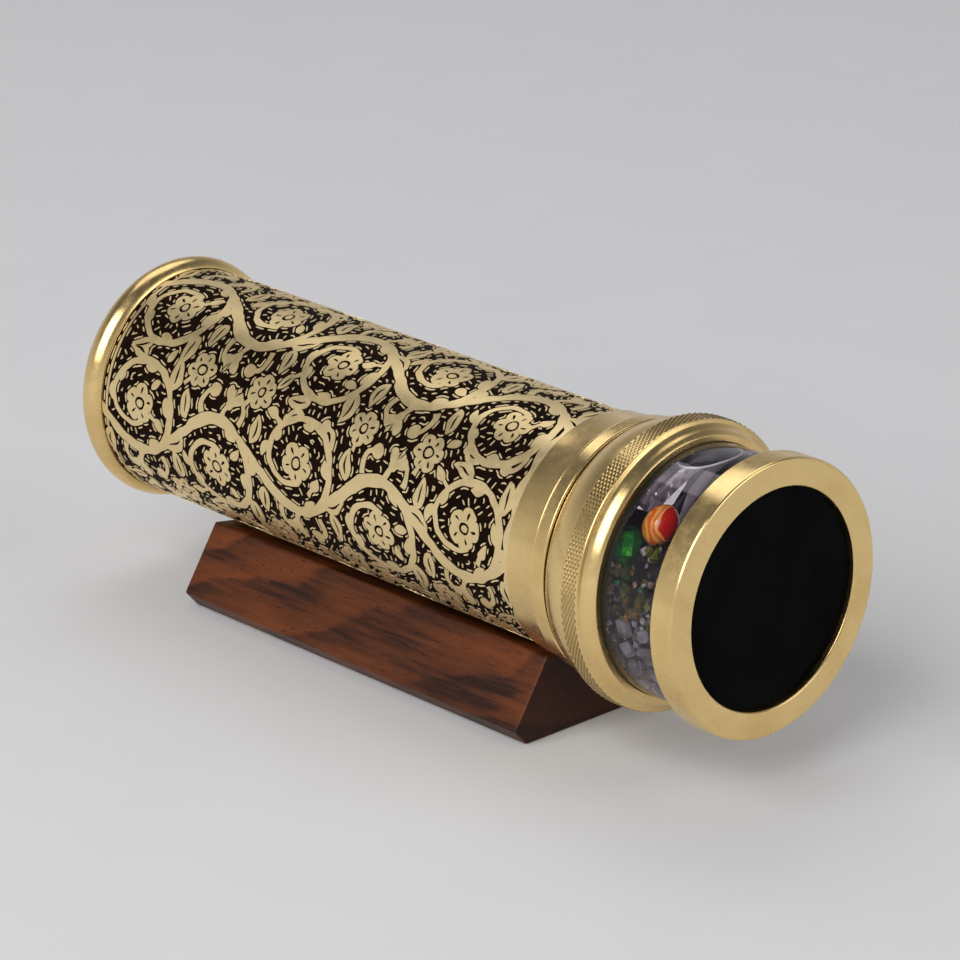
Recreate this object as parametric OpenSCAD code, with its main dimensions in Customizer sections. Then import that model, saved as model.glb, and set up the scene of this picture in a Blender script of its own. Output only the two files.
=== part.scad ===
// Oil kaleidoscope: a brass tube with a mirror prism inside, and at its front a sealed,
// oil-filled glass cell that is turned by a knurled ring. It lies on a hardwood cradle.
//
// The tube's axis runs along X, with the cell at +X and the eyepiece at -X. Z is up and the
// cradle stands on Z = 0. Turned pieces are drawn as profiles of radius against station, where
// a station is the distance behind the flat front face of the bezel.

/* [Tube] */
// Outside diameter of the brass tube
tube_d = 50.8; // [42:0.2:64]
// Wall thickness of the brass tube
tube_wall = 1.6; // [1:0.1:2.4]
// Length over everything, from the bezel's face to the eyepiece's rim
overall_length = 185.4; // [150:0.2:240]

/* [Eyepiece] */
// Width of the rolled bead round the eyepiece
bead_width = 6.3; // [4:0.1:9]
// How far the bead stands out from the tube
bead_height = 2; // [1:0.1:3]
// Diameter of the eye hole
eye_hole_d = 13; // [8:0.5:20]
// Thickness of the eyepiece's end plate
end_plate_t = 2.6; // [1.6:0.1:4]
// Depth of the dish in the eyepiece's end
dish_depth = 1.6; // [0.6:0.1:3]
// Diameter of the eye lens
lens_d = 18; // [15:0.5:26]
// Thickness of the eye lens at its edge
lens_edge_t = 1.6; // [1:0.1:3]
// How far the eye lens bulges towards the mirrors
lens_bulge = 1.2; // [0.4:0.1:2]
// Length of the spigot that enters the tube
cap_spigot = 8; // [5:0.5:14]
// Size of the chamfer round the eye hole
eye_chamfer = 1.4; // [0.4:0.1:2]
// Wall of the pocket that holds the lens
pocket_wall = 1.9; // [1:0.1:3]
// Thickness of the ring that holds the lens in its pocket
retainer_t = 2.2; // [1.4:0.1:4]
// Width of the ring that holds the lens in its pocket
retainer_width = 1.4; // [0.8:0.1:2.4]

/* [Mirrors] */
// Thickness of each mirror strip
mirror_t = 2; // [1:0.1:3]
// Thickness of the black wrap that binds the mirrors
wrap_t = 0.8; // [0.4:0.1:1.6]
// Least wall of the rings that centre the mirrors in the tube
mirror_ring_wall = 1.5; // [0.8:0.1:3]
// Length of each centring ring
mirror_ring_length = 6; // [3:0.5:12]
// Distance from each end of the mirrors to the centring ring there
mirror_ring_inset = 1.5; // [0.5:0.5:10]

/* [Object cell] */
// How far the clear wall stands out beyond the tube
cell_overhang = 1.3; // [0.6:0.1:2.4]
// Thickness of the clear wall
cell_wall_t = 2.4; // [1.6:0.1:4]
// Length of the clear wall that shows between bezel and turning ring
cell_view = 15.9; // [10:0.1:26]
// Thickness of the clear rear window
rear_window_t = 2.5; // [1.5:0.1:4]
// Thickness of the black end disc
end_disc_t = 2.2; // [1.5:0.1:4]
// Thickness of the flat gaskets at both ends of the clear wall
gasket_t = 0.5; // [0.3:0.1:1]
// Diameter of the hole that the cell is filled through
fill_hole_d = 2.4; // [1.6:0.1:3]
// Distance between the fill hole and the clear wall's rear edge
fill_hole_margin = 1.1; // [0.6:0.1:1.6]
// How far the fill hole's plug stays below the wall's outer face
plug_recess = 0.15; // [0.05:0.05:0.5]

/* [Tube mouth] */
// Thickness of the flange that keeps the turning ring on
flange_t = 1.3; // [0.8:0.1:2]
// Length of the spigots' thin wall inside the tube's mouth
mouth_spigot = 4.2; // [3.6:0.1:8]
// Wall thickness of the spigots in both ends of the tube
spigot_t = 1.3; // [0.8:0.1:2]
// Width of the stop in front of the tube's window
window_stop = 0.8; // [0.4:0.1:2]
// Thickness of the tube's window
tube_window_t = 2; // [1:0.1:3]
// Thickness of the ring that holds the tube's window
clip_t = 1.5; // [0.8:0.1:2.4]
// Width of the ring that holds the tube's window
clip_width = 1.2; // [0.6:0.1:2]

/* [Front bezel] */
// Width of the bezel's band
bezel_width = 6; // [4.6:0.1:9]
// How far the bezel stands out beyond the clear wall
bezel_rim = 2.6; // [1.6:0.1:4]
// How far the bezel's lip reaches in over the end disc
bezel_lip = 3.35; // [2.6:0.05:5]
// Thickness of the bezel's lip
bezel_lip_t = 1.5; // [1:0.1:2.5]
// Size of the chamfer round the bezel's front edge
bezel_chamfer = 0.7; // [0.2:0.1:1.2]

/* [Turning ring] */
// Width of the turning ring
ring_width = 15.1; // [12.6:0.1:20]
// Width of the knurled band
knurl_width = 4.6; // [3:0.1:6]
// How far the knurled band stands out beyond the clear wall
knurl_rise = 4.3; // [3.4:0.1:6]
// Width of the plain lip in front of the knurled band
lip_width = 2.9; // [2.2:0.1:4]
// Thickness of the ring's metal round the clear wall at the lip
lip_wall = 1.55; // [1:0.05:2.5]
// Length of the bearing that runs on the tube
journal_length = 5.5; // [4:0.1:7]
// How far the ring stands out from the tube at its rear edge
tail_rise = 2.3; // [1.5:0.1:3]
// How far the bevels on both sides start below the knurled band
bevel_drop = 1.1; // [0.6:0.1:2]
// Length of the lip's rounded nose
nose_length = 1.1; // [0.6:0.1:1.6]
// How far the lip swells along its rounded nose
nose_swell = 0.7; // [0.3:0.1:1.2]

/* [Collar] */
// Length of the collar behind the turning ring
collar_length = 11.9; // [8:0.1:18]
// Thickness of the collar's metal at its front
collar_t = 2; // [1.4:0.1:3]
// Thickness of the collar's metal at its rear edge
collar_tail_t = 0.8; // [0.5:0.1:1.2]
// Distance from the collar's front to its step
collar_step = 3.4; // [1.6:0.1:6]
// Height of the collar's step
collar_step_t = 0.3; // [0.1:0.05:0.6]
// Thickness of the black thrust washer between collar and turning ring
washer_t = 0.6; // [0.4:0.1:1.2]
// How far the thrust washer stands out from the tube
washer_rise = 1.2; // [0.8:0.1:1.8]

/* [Cradle] */
// Length of the wooden cradle
cradle_length = 105; // [70:1:140]
// Gap between the collar and the near end of the cradle
cradle_gap = 0.6; // [0.3:0.1:20]
// Height of the tube's axis above the table
axis_height = 41.6; // [38:0.2:56]
// Angle at which each face of the shallow groove climbs
groove_slope = 10; // [6:1:20]
// Width across the groove, from edge to edge
groove_width = 27.4; // [18:0.2:36]
// Width of the cradle at its widest
cradle_width = 45.6; // [40:0.2:64]
// Height of the undercut at the foot
foot_height = 3.7; // [1:0.1:6]
// How far the foot is undercut on each side
foot_undercut = 3.3; // [0:0.1:6]

/* [Loose pieces] */
// Diameter of the two large beads
bead_d = 8; // [6:0.5:9]
// Size of the crushed glass chips
chip_size = 4.6; // [3:0.2:5]
// Length of the clear glass rods
rod_length = 12; // [5:0.5:13]
// Thickness of the clear glass rods
rod_d = 2.4; // [1.6:0.1:2.6]
// Length of the twisted glass sticks
twist_length = 8; // [5:0.5:9]
// Thickness of the twisted glass sticks
twist_d = 2.2; // [1.4:0.1:2.6]
// Diameter of the small ring beads
seed_d = 3.6; // [2.4:0.2:4]
// Angle of the lowest twisted sticks, from the far side over the top
low_stick_angle = 175; // [170:1:184]

/* [Clearances] */
// Radial clearance between the turning ring and the tube it runs on
running_gap = 0.05; // [0.02:0.01:0.1]
// Radial gap of pieces that are bonded or pushed together
bond_gap = 0.05; // [0.02:0.01:0.1]
// Gap between moving pieces that never touch
free_gap = 0.3; // [0.2:0.05:0.6]
// End play of the turning ring
end_play = 0.1; // [0.05:0.05:0.3]
// Gap between the tube and the faces it rests on
rest_gap = 0.25; // [0.1:0.05:0.4]
// Gap between the long edges of the mirrors
mirror_edge_gap = 0.1; // [0.05:0.05:0.3]
// Size of the small broken edges of the turned brass
edge_break = 0.3; // [0.1:0.05:0.4]

/* [Hidden] */
$fn = 96;

// Radii of the tube, the cell and what fits to them.
tube_r = tube_d / 2;
bore_r = tube_r - tube_wall;
plug_r = bore_r - bond_gap;
cell_r = tube_r + cell_overhang;
chamber_r = cell_r - cell_wall_t;
seat_r = cell_r + bond_gap;
journal_r = tube_r + running_gap;
bezel_r = cell_r + bezel_rim;
bezel_opening_r = cell_r - bezel_lip;
knurl_r = cell_r + knurl_rise;
lip_r = cell_r + lip_wall;
collar_r = tube_r + collar_t;
bead_peak_r = tube_r + bead_height;

// Stations of the cell, from the front backwards.
disc_front = bezel_lip_t;
disc_back = disc_front + end_disc_t;
wall_front = disc_back + gasket_t;
ring_front = bezel_width + cell_view;
ring_back = ring_front + ring_width;
ring_step = ring_back - journal_length;
flange_back = ring_step - end_play;
flange_front = flange_back - flange_t;
window_back = flange_front - 2 * free_gap;
window_front = window_back - rear_window_t;
wall_back = window_front - gasket_t;
fill_hole_station = wall_back - fill_hole_margin - fill_hole_d / 2;
chamber_length = wall_back - wall_front;
chamber_mid = (wall_back + wall_front) / 2;

// Stations of the tube's fittings.
washer_front = ring_back + end_play;
collar_front = washer_front + washer_t + end_play;
collar_back = collar_front + collar_length;
tube_front = flange_back;
spigot_back = tube_front + mouth_spigot;
tube_window_back = tube_front + tube_window_t;
clip_back = tube_window_back + clip_t;
bead_front = overall_length - bead_width;
dish_floor = overall_length - dish_depth;
plate_front = dish_floor - end_plate_t;
lens_front = plate_front - lens_edge_t - lens_bulge;
lens_pocket_front = lens_front - retainer_t - free_gap;
// Radius of the sphere that the lens's dome is part of.
dome_r = (lens_d * lens_d / 4 + lens_bulge * lens_bulge) / (2 * lens_bulge);

// The mirrors: three strips round an open triangle, inside the bore.
corner_r = bore_r - mirror_ring_wall - wrap_t - 3 * bond_gap;
mirror_apothem = (sqrt(4 * corner_r * corner_r - 3 * mirror_t * mirror_t) - mirror_t) / 4;
mirror_width = 2 * sqrt(3) * mirror_apothem;
mirror_front = max(spigot_back, clip_back) + 2 * free_gap;
mirror_back = min(bead_front - cap_spigot, lens_pocket_front) - free_gap;
mirror_length = mirror_back - mirror_front;

// Lays a turned piece along the tube: its Z becomes the station and its X points up.
module on_axis()
    translate([overall_length / 2, 0, axis_height])
        rotate([0, -90, 0])
            children();

// A turned piece from its half profile of [radius, station] points.
module turned(profile)
    on_axis()
        rotate_extrude()
            polygon(profile);

// A plain turned tube between two radii and two stations.
module tube_between(inner_r, outer_r, front, back)
    turned([[inner_r, front], [outer_r, front], [outer_r, back], [inner_r, back]]);

// A plain turned disc between two stations.
module disc_between(outer_r, front, back)
    turned([[0, front], [outer_r, front], [outer_r, back], [0, back]]);

// Points of a bulging curve from one [radius, station] point to another.
function bulge(from, to, rise, steps = 6) =
    [for (i = [0 : steps])
        let (u = i / steps)
            [from[0] + (to[0] - from[0]) * u + rise * sin(180 * u), from[1] + (to[1] - from[1]) * u]];

// Places a loose piece in the chamber at a station, an angle from +Y towards +Z, and a radius.
module in_chamber(station, angle, radius)
    translate([overall_length / 2 - station, 0, axis_height])
        rotate([angle, 0, 0])
            translate([0, radius, 0])
                children();

// The cradle: a block with a shallow groove, sloping sides and an undercut foot. Where it
// reaches under the eyepiece, it is hollowed to clear the bead.
module stand_block() {
    groove_z = -(tube_r + rest_gap) / cos(groove_slope);
    edge_z = groove_z + groove_width / 2 * tan(groove_slope);
    shoulder_z = foot_height - axis_height;
    near_x = overall_length / 2 - collar_back - cradle_gap;
    half = [[groove_width / 2, edge_z], [cradle_width / 2, shoulder_z],
        [cradle_width / 2 - foot_undercut, -axis_height]];
    color([0.30, 0.13, 0.07])
        difference() {
            translate([near_x, 0, axis_height])
                rotate([90, 0, -90])
                    linear_extrude(cradle_length)
                        polygon(concat([[0, groove_z]], half,
                            [for (i = [2 : -1 : 0]) [-half[i][0], half[i][1]]]));
            disc_between(bead_peak_r + rest_gap + free_gap, bead_front - 2 * free_gap,
                overall_length + 2 * free_gap);
        }
}

// The long brass tube.
module body_tube()
    color([0.80, 0.65, 0.36])
        tube_between(bore_r, tube_r, tube_front, plate_front);

// The collar: a stepped brass band that the turning ring runs up against.
module tube_collar() {
    step = collar_front + collar_step;
    groove = collar_step_t;
    edge = edge_break;
    bond_r = tube_r + bond_gap;
    step_r = collar_r - collar_step_t;
    tail_r = tube_r + collar_tail_t;
    color([0.84, 0.70, 0.42])
        turned(concat(
            [[bond_r, collar_front], [collar_r - edge, collar_front], [collar_r, collar_front + edge],
                [collar_r, step - groove], [step_r - groove, step], [step_r, step + groove]],
            bulge([step_r, step + groove], [tail_r, collar_back - edge], -0.12),
            [[tail_r - edge, collar_back], [bond_r, collar_back]]));
}

// The thin washer that the turning ring slides against.
module thrust_washer()
    color([0.06, 0.06, 0.06])
        tube_between(tube_r + bond_gap, tube_r + washer_rise, washer_front,
            washer_front + washer_t);

// The flanged ring in the tube's mouth: its flange holds the turning ring on, its bore the window.
module retaining_ring() {
    flange_r = seat_r - free_gap;
    stop_r = plug_r - spigot_t - window_stop;
    color([0.76, 0.61, 0.34])
        turned([[stop_r, flange_front], [flange_r, flange_front], [flange_r, flange_back - bond_gap],
            [plug_r, flange_back - bond_gap], [plug_r, spigot_back], [plug_r - spigot_t, spigot_back],
            [plug_r - spigot_t, tube_front], [stop_r, tube_front]]);
}

// The glass that keeps dust off the mirrors.
module tube_window()
    color([0.75, 0.85, 0.88, 0.4])
        disc_between(plug_r - spigot_t - bond_gap, tube_front, tube_window_back);

// The ring that holds the window in.
module window_clip() {
    outer_r = plug_r - spigot_t - bond_gap;
    color([0.10, 0.10, 0.10])
        tube_between(outer_r - clip_width, outer_r, tube_window_back, clip_back);
}

// One mirror strip, on the side of the triangle that an angle gives; 180 is the bottom one.
module mirror_strip(angle)
    color([0.82, 0.84, 0.86])
        on_axis()
            rotate([0, 0, angle])
                translate([mirror_apothem, -(mirror_width - mirror_edge_gap) / 2, mirror_front])
                    cube([mirror_t, mirror_width - mirror_edge_gap, mirror_length]);

// The two upper mirrors, which meet at the top.
module mirror_left()
    mirror_strip(60);

module mirror_right()
    mirror_strip(-60);

// The bottom mirror.
module mirror_base()
    mirror_strip(180);

// Outline round the bound mirrors, a given distance outside them.
module prism_outline(distance) {
    flat = mirror_apothem + mirror_t + distance;
    point = (mirror_width / 2) * cos(30) + (mirror_apothem + mirror_t) / 2 + distance;
    intersection() {
        circle(r = 2 * flat, $fn = 3);
        rotate(180)
            circle(r = 2 * point, $fn = 3);
    }
}

// The black wrap that binds the three mirrors.
module mirror_wrap()
    color([0.07, 0.07, 0.07])
        on_axis()
            translate([0, 0, mirror_front])
                linear_extrude(mirror_length)
                    difference() {
                        prism_outline(bond_gap + wrap_t);
                        prism_outline(bond_gap);
                    }

// A ring that centres the bound mirrors in the tube.
module mirror_ring(front)
    color([0.16, 0.15, 0.14])
        on_axis()
            translate([0, 0, front])
                linear_extrude(mirror_ring_length)
                    difference() {
                        circle(r = bore_r - bond_gap);
                        prism_outline(2 * bond_gap + wrap_t);
                    }

// The two centring rings, near the ends of the mirrors.
module mirror_ring_front()
    mirror_ring(mirror_front + mirror_ring_inset);

module mirror_ring_rear()
    mirror_ring(mirror_back - mirror_ring_inset - mirror_ring_length);

// The eyepiece: a rolled bead, a dished end with an eye hole, a spigot in the tube, a lens pocket.
module eyepiece_cap() {
    roll_r = bead_width + bead_height - sqrt(2 * bead_width * bead_height);
    spigot_bore_r = plug_r - spigot_t;
    eye_r = eye_hole_d / 2;
    pocket_r = lens_d / 2 + bond_gap;
    color([0.82, 0.67, 0.38])
        on_axis()
            rotate_extrude()
                difference() {
                    union() {
                        translate([bead_peak_r - roll_r, overall_length - roll_r])
                            circle(r = roll_r);
                        translate([0, plate_front])
                            square([bead_peak_r - roll_r, end_plate_t]);
                        translate([spigot_bore_r, bead_front - cap_spigot])
                            square([spigot_t, cap_spigot + bead_width / 2]);
                        translate([pocket_r, lens_pocket_front])
                            square([pocket_wall, plate_front - lens_pocket_front + end_plate_t / 2]);
                    }
                    translate([pocket_r + pocket_wall, bead_front - cap_spigot - 1])
                        square([spigot_bore_r - pocket_r - pocket_wall,
                            plate_front - bead_front + cap_spigot + 1]);
                    translate([plug_r, bead_front - cap_spigot - 1])
                        square([tube_wall + 2 * bond_gap, plate_front + bond_gap
                            - bead_front + cap_spigot + 1]);
                    polygon([[0, plate_front - 1], [eye_r, plate_front - 1],
                        [eye_r, dish_floor - eye_chamfer], [eye_r + eye_chamfer, dish_floor],
                        [eye_r + eye_chamfer, dish_floor + 1], [0, dish_floor + 1]]);
                }
}

// The eye lens: flat to the eye and domed towards the mirrors.
module eye_lens()
    color([0.78, 0.88, 0.90, 0.4])
        on_axis()
            rotate_extrude()
                intersection() {
                    translate([0, lens_front])
                        square([lens_d / 2, lens_edge_t + lens_bulge]);
                    translate([0, lens_front + dome_r])
                        circle(r = dome_r);
                }

// The ring that holds the eye lens against the end plate, its back face sloped to the dome.
module lens_retainer() {
    outer_r = lens_d / 2;
    inner_r = outer_r - retainer_width;
    outer_back = plate_front - lens_edge_t - bond_gap;
    inner_back = lens_front + dome_r - sqrt(dome_r * dome_r - inner_r * inner_r) - bond_gap;
    color([0.10, 0.10, 0.10])
        turned([[inner_r, inner_back - retainer_t], [outer_r, inner_back - retainer_t],
            [outer_r, outer_back], [inner_r, inner_back]]);
}

// The turning ring: lip, knurled band and bevel outside; cell seat and bearing inside.
module turning_ring() {
    knurl_front = ring_front + lip_width;
    knurl_back = knurl_front + knurl_width;
    bevel_r = knurl_r - bevel_drop;
    tail_r = tube_r + tail_rise;
    nose_r = lip_r - edge_break / 2;
    swell_r = lip_r + nose_swell;
    nose_back = ring_front + nose_length;
    color([0.84, 0.69, 0.40])
        turned(concat(
            [[seat_r, ring_front], [nose_r, ring_front]],
            bulge([nose_r, ring_front], [swell_r, nose_back], 0.12, 3),
            bulge([swell_r, nose_back], [bevel_r, knurl_front - edge_break], -0.15, 4),
            [[knurl_r - edge_break, knurl_front], [knurl_r, knurl_front + edge_break],
                [knurl_r, knurl_back - edge_break], [knurl_r - edge_break, knurl_back],
                [bevel_r, knurl_back + edge_break]],
            bulge([bevel_r, knurl_back + 2 * edge_break], [tail_r, ring_back - edge_break], 0.45, 7),
            [[tail_r - edge_break, ring_back], [journal_r, ring_back], [journal_r, ring_step],
                [seat_r, ring_step]]));
}

// The clear wall of the cell, with the hole that it is filled through.
module cell_wall()
    color([0.80, 0.88, 0.90, 0.35])
        difference() {
            tube_between(chamber_r, cell_r, wall_front, wall_back);
            fill_hole(fill_hole_d / 2, chamber_r - 1, cell_r + 1);
        }

// A radial cylinder through the clear wall, under the turning ring's lip.
module fill_hole(radius, inner_r, outer_r)
    in_chamber(fill_hole_station, -90, inner_r)
        rotate([-90, 0, 0])
            cylinder(r = radius, h = outer_r - inner_r);

// The plug that closes the fill hole.
module fill_plug()
    color([0.75, 0.74, 0.70])
        fill_hole(fill_hole_d / 2 - bond_gap, chamber_r + free_gap, cell_r - plug_recess);

// The clear window at the back of the cell.
module rear_window()
    color([0.75, 0.85, 0.88, 0.4])
        disc_between(cell_r, window_front, window_back);

// The gasket between the clear wall and the rear window.
module rear_seal()
    color([0.05, 0.05, 0.05])
        tube_between(chamber_r, cell_r, wall_back, window_front);

// The black disc that closes the front of the cell.
module end_disc()
    color([0.03, 0.03, 0.03])
        disc_between(cell_r, disc_front, disc_back);

// The gasket between the clear wall and the end disc.
module front_seal()
    color([0.05, 0.05, 0.05])
        tube_between(chamber_r, cell_r, disc_back, wall_front);

// The bezel: a band round the clear wall with a lip over the end disc.
module front_bezel() {
    color([0.86, 0.71, 0.42])
        turned([[bezel_opening_r + edge_break, 0], [bezel_r - bezel_chamfer, 0],
            [bezel_r - bezel_chamfer * 0.3, bezel_chamfer * 0.3], [bezel_r, bezel_chamfer],
            [bezel_r, bezel_width - edge_break], [bezel_r - edge_break, bezel_width],
            [seat_r, bezel_width], [seat_r, bezel_lip_t], [bezel_opening_r, bezel_lip_t],
            [bezel_opening_r, edge_break]]);
}

// Radius at which a loose piece of a given size lies just inside the clear wall.
function beside_wall(size) = chamber_r - size / 2 - free_gap;

// Angle that a piece of a given width takes up at a radius.
function angle_for(width, radius) = 2 * asin(width / 2 / radius);

// The beads: the striped one lies against the green one, a little higher on the wall.
bead_angle = 152;
bead_radius = beside_wall(bead_d);
bead_station = wall_back - bead_d / 2 - 2 * free_gap;
bead_step = 0.75 * bead_d;
striped_angle = bead_angle
    - angle_for(sqrt(pow(bead_d + free_gap, 2) - bead_step * bead_step), bead_radius);

// The rods: the radius at which the outer ones lie, and the angle at which the first one's
// lower end comes to the green bead.
rod_end_radius = chamber_r - free_gap - rod_d / 2;
rod_radius = sqrt(rod_end_radius * rod_end_radius - rod_length * rod_length / 4) - rod_d / 4;
rod_angle = bead_angle - angle_for((bead_d + rod_d) / 2 + free_gap, bead_radius)
    - atan(rod_length / 2 / rod_radius);

// The sticks: the radius at which they lie, and half the angle that one takes up.
stick_radius = chamber_r - twist_d - 3 * free_gap;
stick_half_angle = asin(twist_length / 2 / stick_radius);

// The bed of chips: the block that a chip is cut from, how far a chip reaches from its middle
// once its corners are cut, and the grid of columns and rows. The bed starts below the sticks.
chip_block = chip_size * [0.62, 0.72, 0.5];
chip_cut = chip_size * [1, 0.66, 0.74];
chip_reach = 0.86 * norm(chip_block) / 2;
chip_radius = chamber_r - free_gap - chip_reach;
chip_pitch = 2 * chip_reach + free_gap / 2;
chip_columns = floor((chamber_length - 2 * free_gap) / chip_pitch);
chip_row_angle = angle_for(chip_pitch, chip_radius);
bed_start = low_stick_angle + stick_half_angle - 360;
bed_end = -8;
chip_rows = floor((bed_end - bed_start) / chip_row_angle);

// Station of a column of chips, and angle of a row.
function chip_station(column) =
    wall_front + free_gap + chip_reach
        + (chamber_length - 2 * (free_gap + chip_reach)) * column / (chip_columns - 1);
function chip_angle(row) = bed_start + (bed_end - bed_start) * (row + 0.5) / chip_rows;

// The faceted green bead.
module green_bead()
    color([0.02, 0.36, 0.10])
        in_chamber(bead_station, bead_angle, bead_radius)
            rotate([0, 20, 0])
                sphere(d = bead_d, $fn = 10);

// The striped bead: a smooth ball with a fine hole.
module striped_bead()
    color([0.78, 0.22, 0.04])
        in_chamber(bead_station - bead_step, striped_angle, bead_radius)
            rotate([35, 25, 0])
                difference() {
                    sphere(d = bead_d);
                    cylinder(d = 1.1, h = bead_d + 1, center = true);
                }

// Straight clear rods that lie side by side across the clear wall, in two layers.
module clear_rods() {
    pitch = rod_d + free_gap;
    first = wall_back - rod_d / 2 - free_gap;
    color([0.80, 0.76, 0.80, 0.5])
        for (row = [0 : 2])
            for (layer = [0 : 1])
                in_chamber(first - pitch * row, rod_angle - 6 * row - 3 * layer,
                    rod_radius - pitch * layer)
                    cylinder(d = rod_d, h = rod_length, center = true, $fn = 6);
}

// Twisted sticks, each from a squarish section that turns along its length.
module glass_twists() {
    places = [[wall_back - 3, low_stick_angle], [wall_back - 8, low_stick_angle - 4],
        [chamber_mid - 1, low_stick_angle], [wall_front + 4, low_stick_angle - 7],
        [chamber_mid + 2, 24], [wall_front + 5, 12], [wall_back - 5, 6], [chamber_mid - 3, 40]];
    color([0.36, 0.28, 0.05])
        for (i = [0 : len(places) - 1])
            in_chamber(places[i][0], places[i][1], stick_radius)
                rotate([35 * sin(140 * i), 0, 0])
                    translate([0, 0, -twist_length / 2])
                        linear_extrude(twist_length, twist = 300, slices = 14, $fn = 4)
                            square(twist_d / sqrt(2), center = true);
}

// Small ring beads that lie on the bed of chips.
module seed_beads() {
    count = chip_rows - 2;
    radius = chip_radius - chip_size * 0.455 - seed_d / 2;
    color([0.05, 0.45, 0.30])
        for (i = [0 : count - 1])
            in_chamber(chip_station(i * 3 % chip_columns), chip_angle(i + 1), radius)
                rotate([0, 90 + 12 * sin(110 * i), 0])
                    difference() {
                        intersection() {
                            sphere(d = seed_d);
                            cube([seed_d, seed_d, seed_d * 0.72], center = true);
                        }
                        cylinder(d = seed_d / 3, h = seed_d, center = true);
                    }
}

// One chip of crushed glass: a block cut by a second, turned block.
module chip(seed)
    rotate([97 * seed, 61 * seed, 143 * seed])
        intersection() {
            cube(chip_block, center = true);
            rotate([40, 25 + 6 * sin(70 * seed), 30])
                cube(chip_cut, center = true);
        }

// A bed of crushed glass along the bottom of the chamber.
module glass_chips()
    color([0.70, 0.70, 0.72, 0.6])
        for (column = [0 : chip_columns - 1])
            for (row = [0 : chip_rows - 1])
                in_chamber(chip_station(column), chip_angle(row), chip_radius)
                    chip(column * chip_rows + row + 1);

stand_block();
body_tube();
tube_collar();
thrust_washer();
retaining_ring();
tube_window();
window_clip();
mirror_left();
mirror_right();
mirror_base();
mirror_wrap();
mirror_ring_front();
mirror_ring_rear();
eyepiece_cap();
eye_lens();
lens_retainer();
turning_ring();
cell_wall();
fill_plug();
rear_window();
rear_seal();
end_disc();
front_seal();
front_bezel();
green_bead();
striped_bead();
clear_rods();
glass_twists();
seed_beads();
glass_chips();
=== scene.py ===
"""Looks of the oil kaleidoscope: etched brass tube, turned rings, oil cell, cradle and studio."""
import math

import bmesh
import bpy
import numpy as np
from mathutils import Matrix, Vector
from mathutils.bvhtree import BVHTree
from mathutils.geometry import delaunay_2d_cdt


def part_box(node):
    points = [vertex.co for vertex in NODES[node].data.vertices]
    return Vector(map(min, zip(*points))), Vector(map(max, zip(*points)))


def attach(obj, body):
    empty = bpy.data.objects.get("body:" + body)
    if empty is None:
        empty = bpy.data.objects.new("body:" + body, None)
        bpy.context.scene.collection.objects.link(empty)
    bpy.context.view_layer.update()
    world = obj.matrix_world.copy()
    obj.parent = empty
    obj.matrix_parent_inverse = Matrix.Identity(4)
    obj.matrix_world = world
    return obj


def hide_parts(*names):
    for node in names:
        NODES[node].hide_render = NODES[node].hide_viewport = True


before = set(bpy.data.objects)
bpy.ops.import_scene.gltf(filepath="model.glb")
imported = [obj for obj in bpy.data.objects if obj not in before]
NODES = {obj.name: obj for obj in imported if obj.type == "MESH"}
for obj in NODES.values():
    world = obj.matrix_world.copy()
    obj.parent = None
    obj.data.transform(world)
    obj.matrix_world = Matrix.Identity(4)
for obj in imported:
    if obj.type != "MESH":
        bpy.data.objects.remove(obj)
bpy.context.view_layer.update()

bl_info = {
    "name": "Oil Kaleidoscope",
    "version": (1, 0, 0),
    "blender": (4, 5, 0),
    "location": "3D View > Sidebar > Kaleidoscope",
    "description": "Dresses the kaleidoscope's frame with etched brass, glass, oil and rosewood",
    "category": "Object",
}

MM = 0.001
TINY = 1e-6
TINIER = 1e-7


def half_height(name):
    """Outer radius of a turned CAD node."""
    low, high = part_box(name)
    return (high.z - low.z) / 2


FRONT_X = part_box("front_bezel")[1].x
AXIS_Z = (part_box("body_tube")[0].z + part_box("body_tube")[1].z) / 2
TUBE_R = half_height("body_tube")
CELL_R = half_height("cell_wall")
KNURL_R = half_height("turning_ring")
WALL_T = 2.4 * MM
CHAMBER_R = CELL_R - WALL_T


def station_of(x):
    """Distance behind the bezel's front face, in metres."""
    return FRONT_X - x


def node_stations(name):
    """Front and rear station of a CAD node."""
    low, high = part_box(name)
    return station_of(high.x), station_of(low.x)


def around(radius, angle, x):
    """Place at a radius and an angle round the tube's axis."""
    return Vector((x, radius * math.cos(angle), AXIS_Z + radius * math.sin(angle)))


# sizes and colours


def colour_setting(name, description, default):
    return bpy.props.FloatVectorProperty(name=name, description=description, size=3,
                                         default=default, min=0, max=1, subtype="COLOR")


def length_setting(name, description, millimetres, least=0.0):
    return bpy.props.FloatProperty(name=name, description=description, unit="LENGTH",
                                   default=millimetres * MM, min=least * MM)


def power_setting(name, description, default):
    return bpy.props.FloatProperty(name=name, description=description, default=default, min=0,
                                   unit="POWER")


def count_setting(name, description, default, least=0, most=1000):
    return bpy.props.IntProperty(name=name, description=description, default=default, min=least,
                                 max=most)


class StageSettings(bpy.types.PropertyGroup):
    floor_colour: colour_setting("Floor", "Colour of the floor and backdrop", (0.74, 0.74, 0.75))
    key_power: power_setting("Key lamp", "Power of the large soft lamp at the left", 21.0)
    fill_power: power_setting("Fill lamp", "Power of the soft lamp at the right", 5.0)
    top_power: power_setting("Top lamp", "Power of the soft lamp overhead", 5.0)
    lens: bpy.props.FloatProperty(
        name="Lens", description="Focal length of the camera, in millimetres",
        default=180.5, min=20, max=400)


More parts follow.
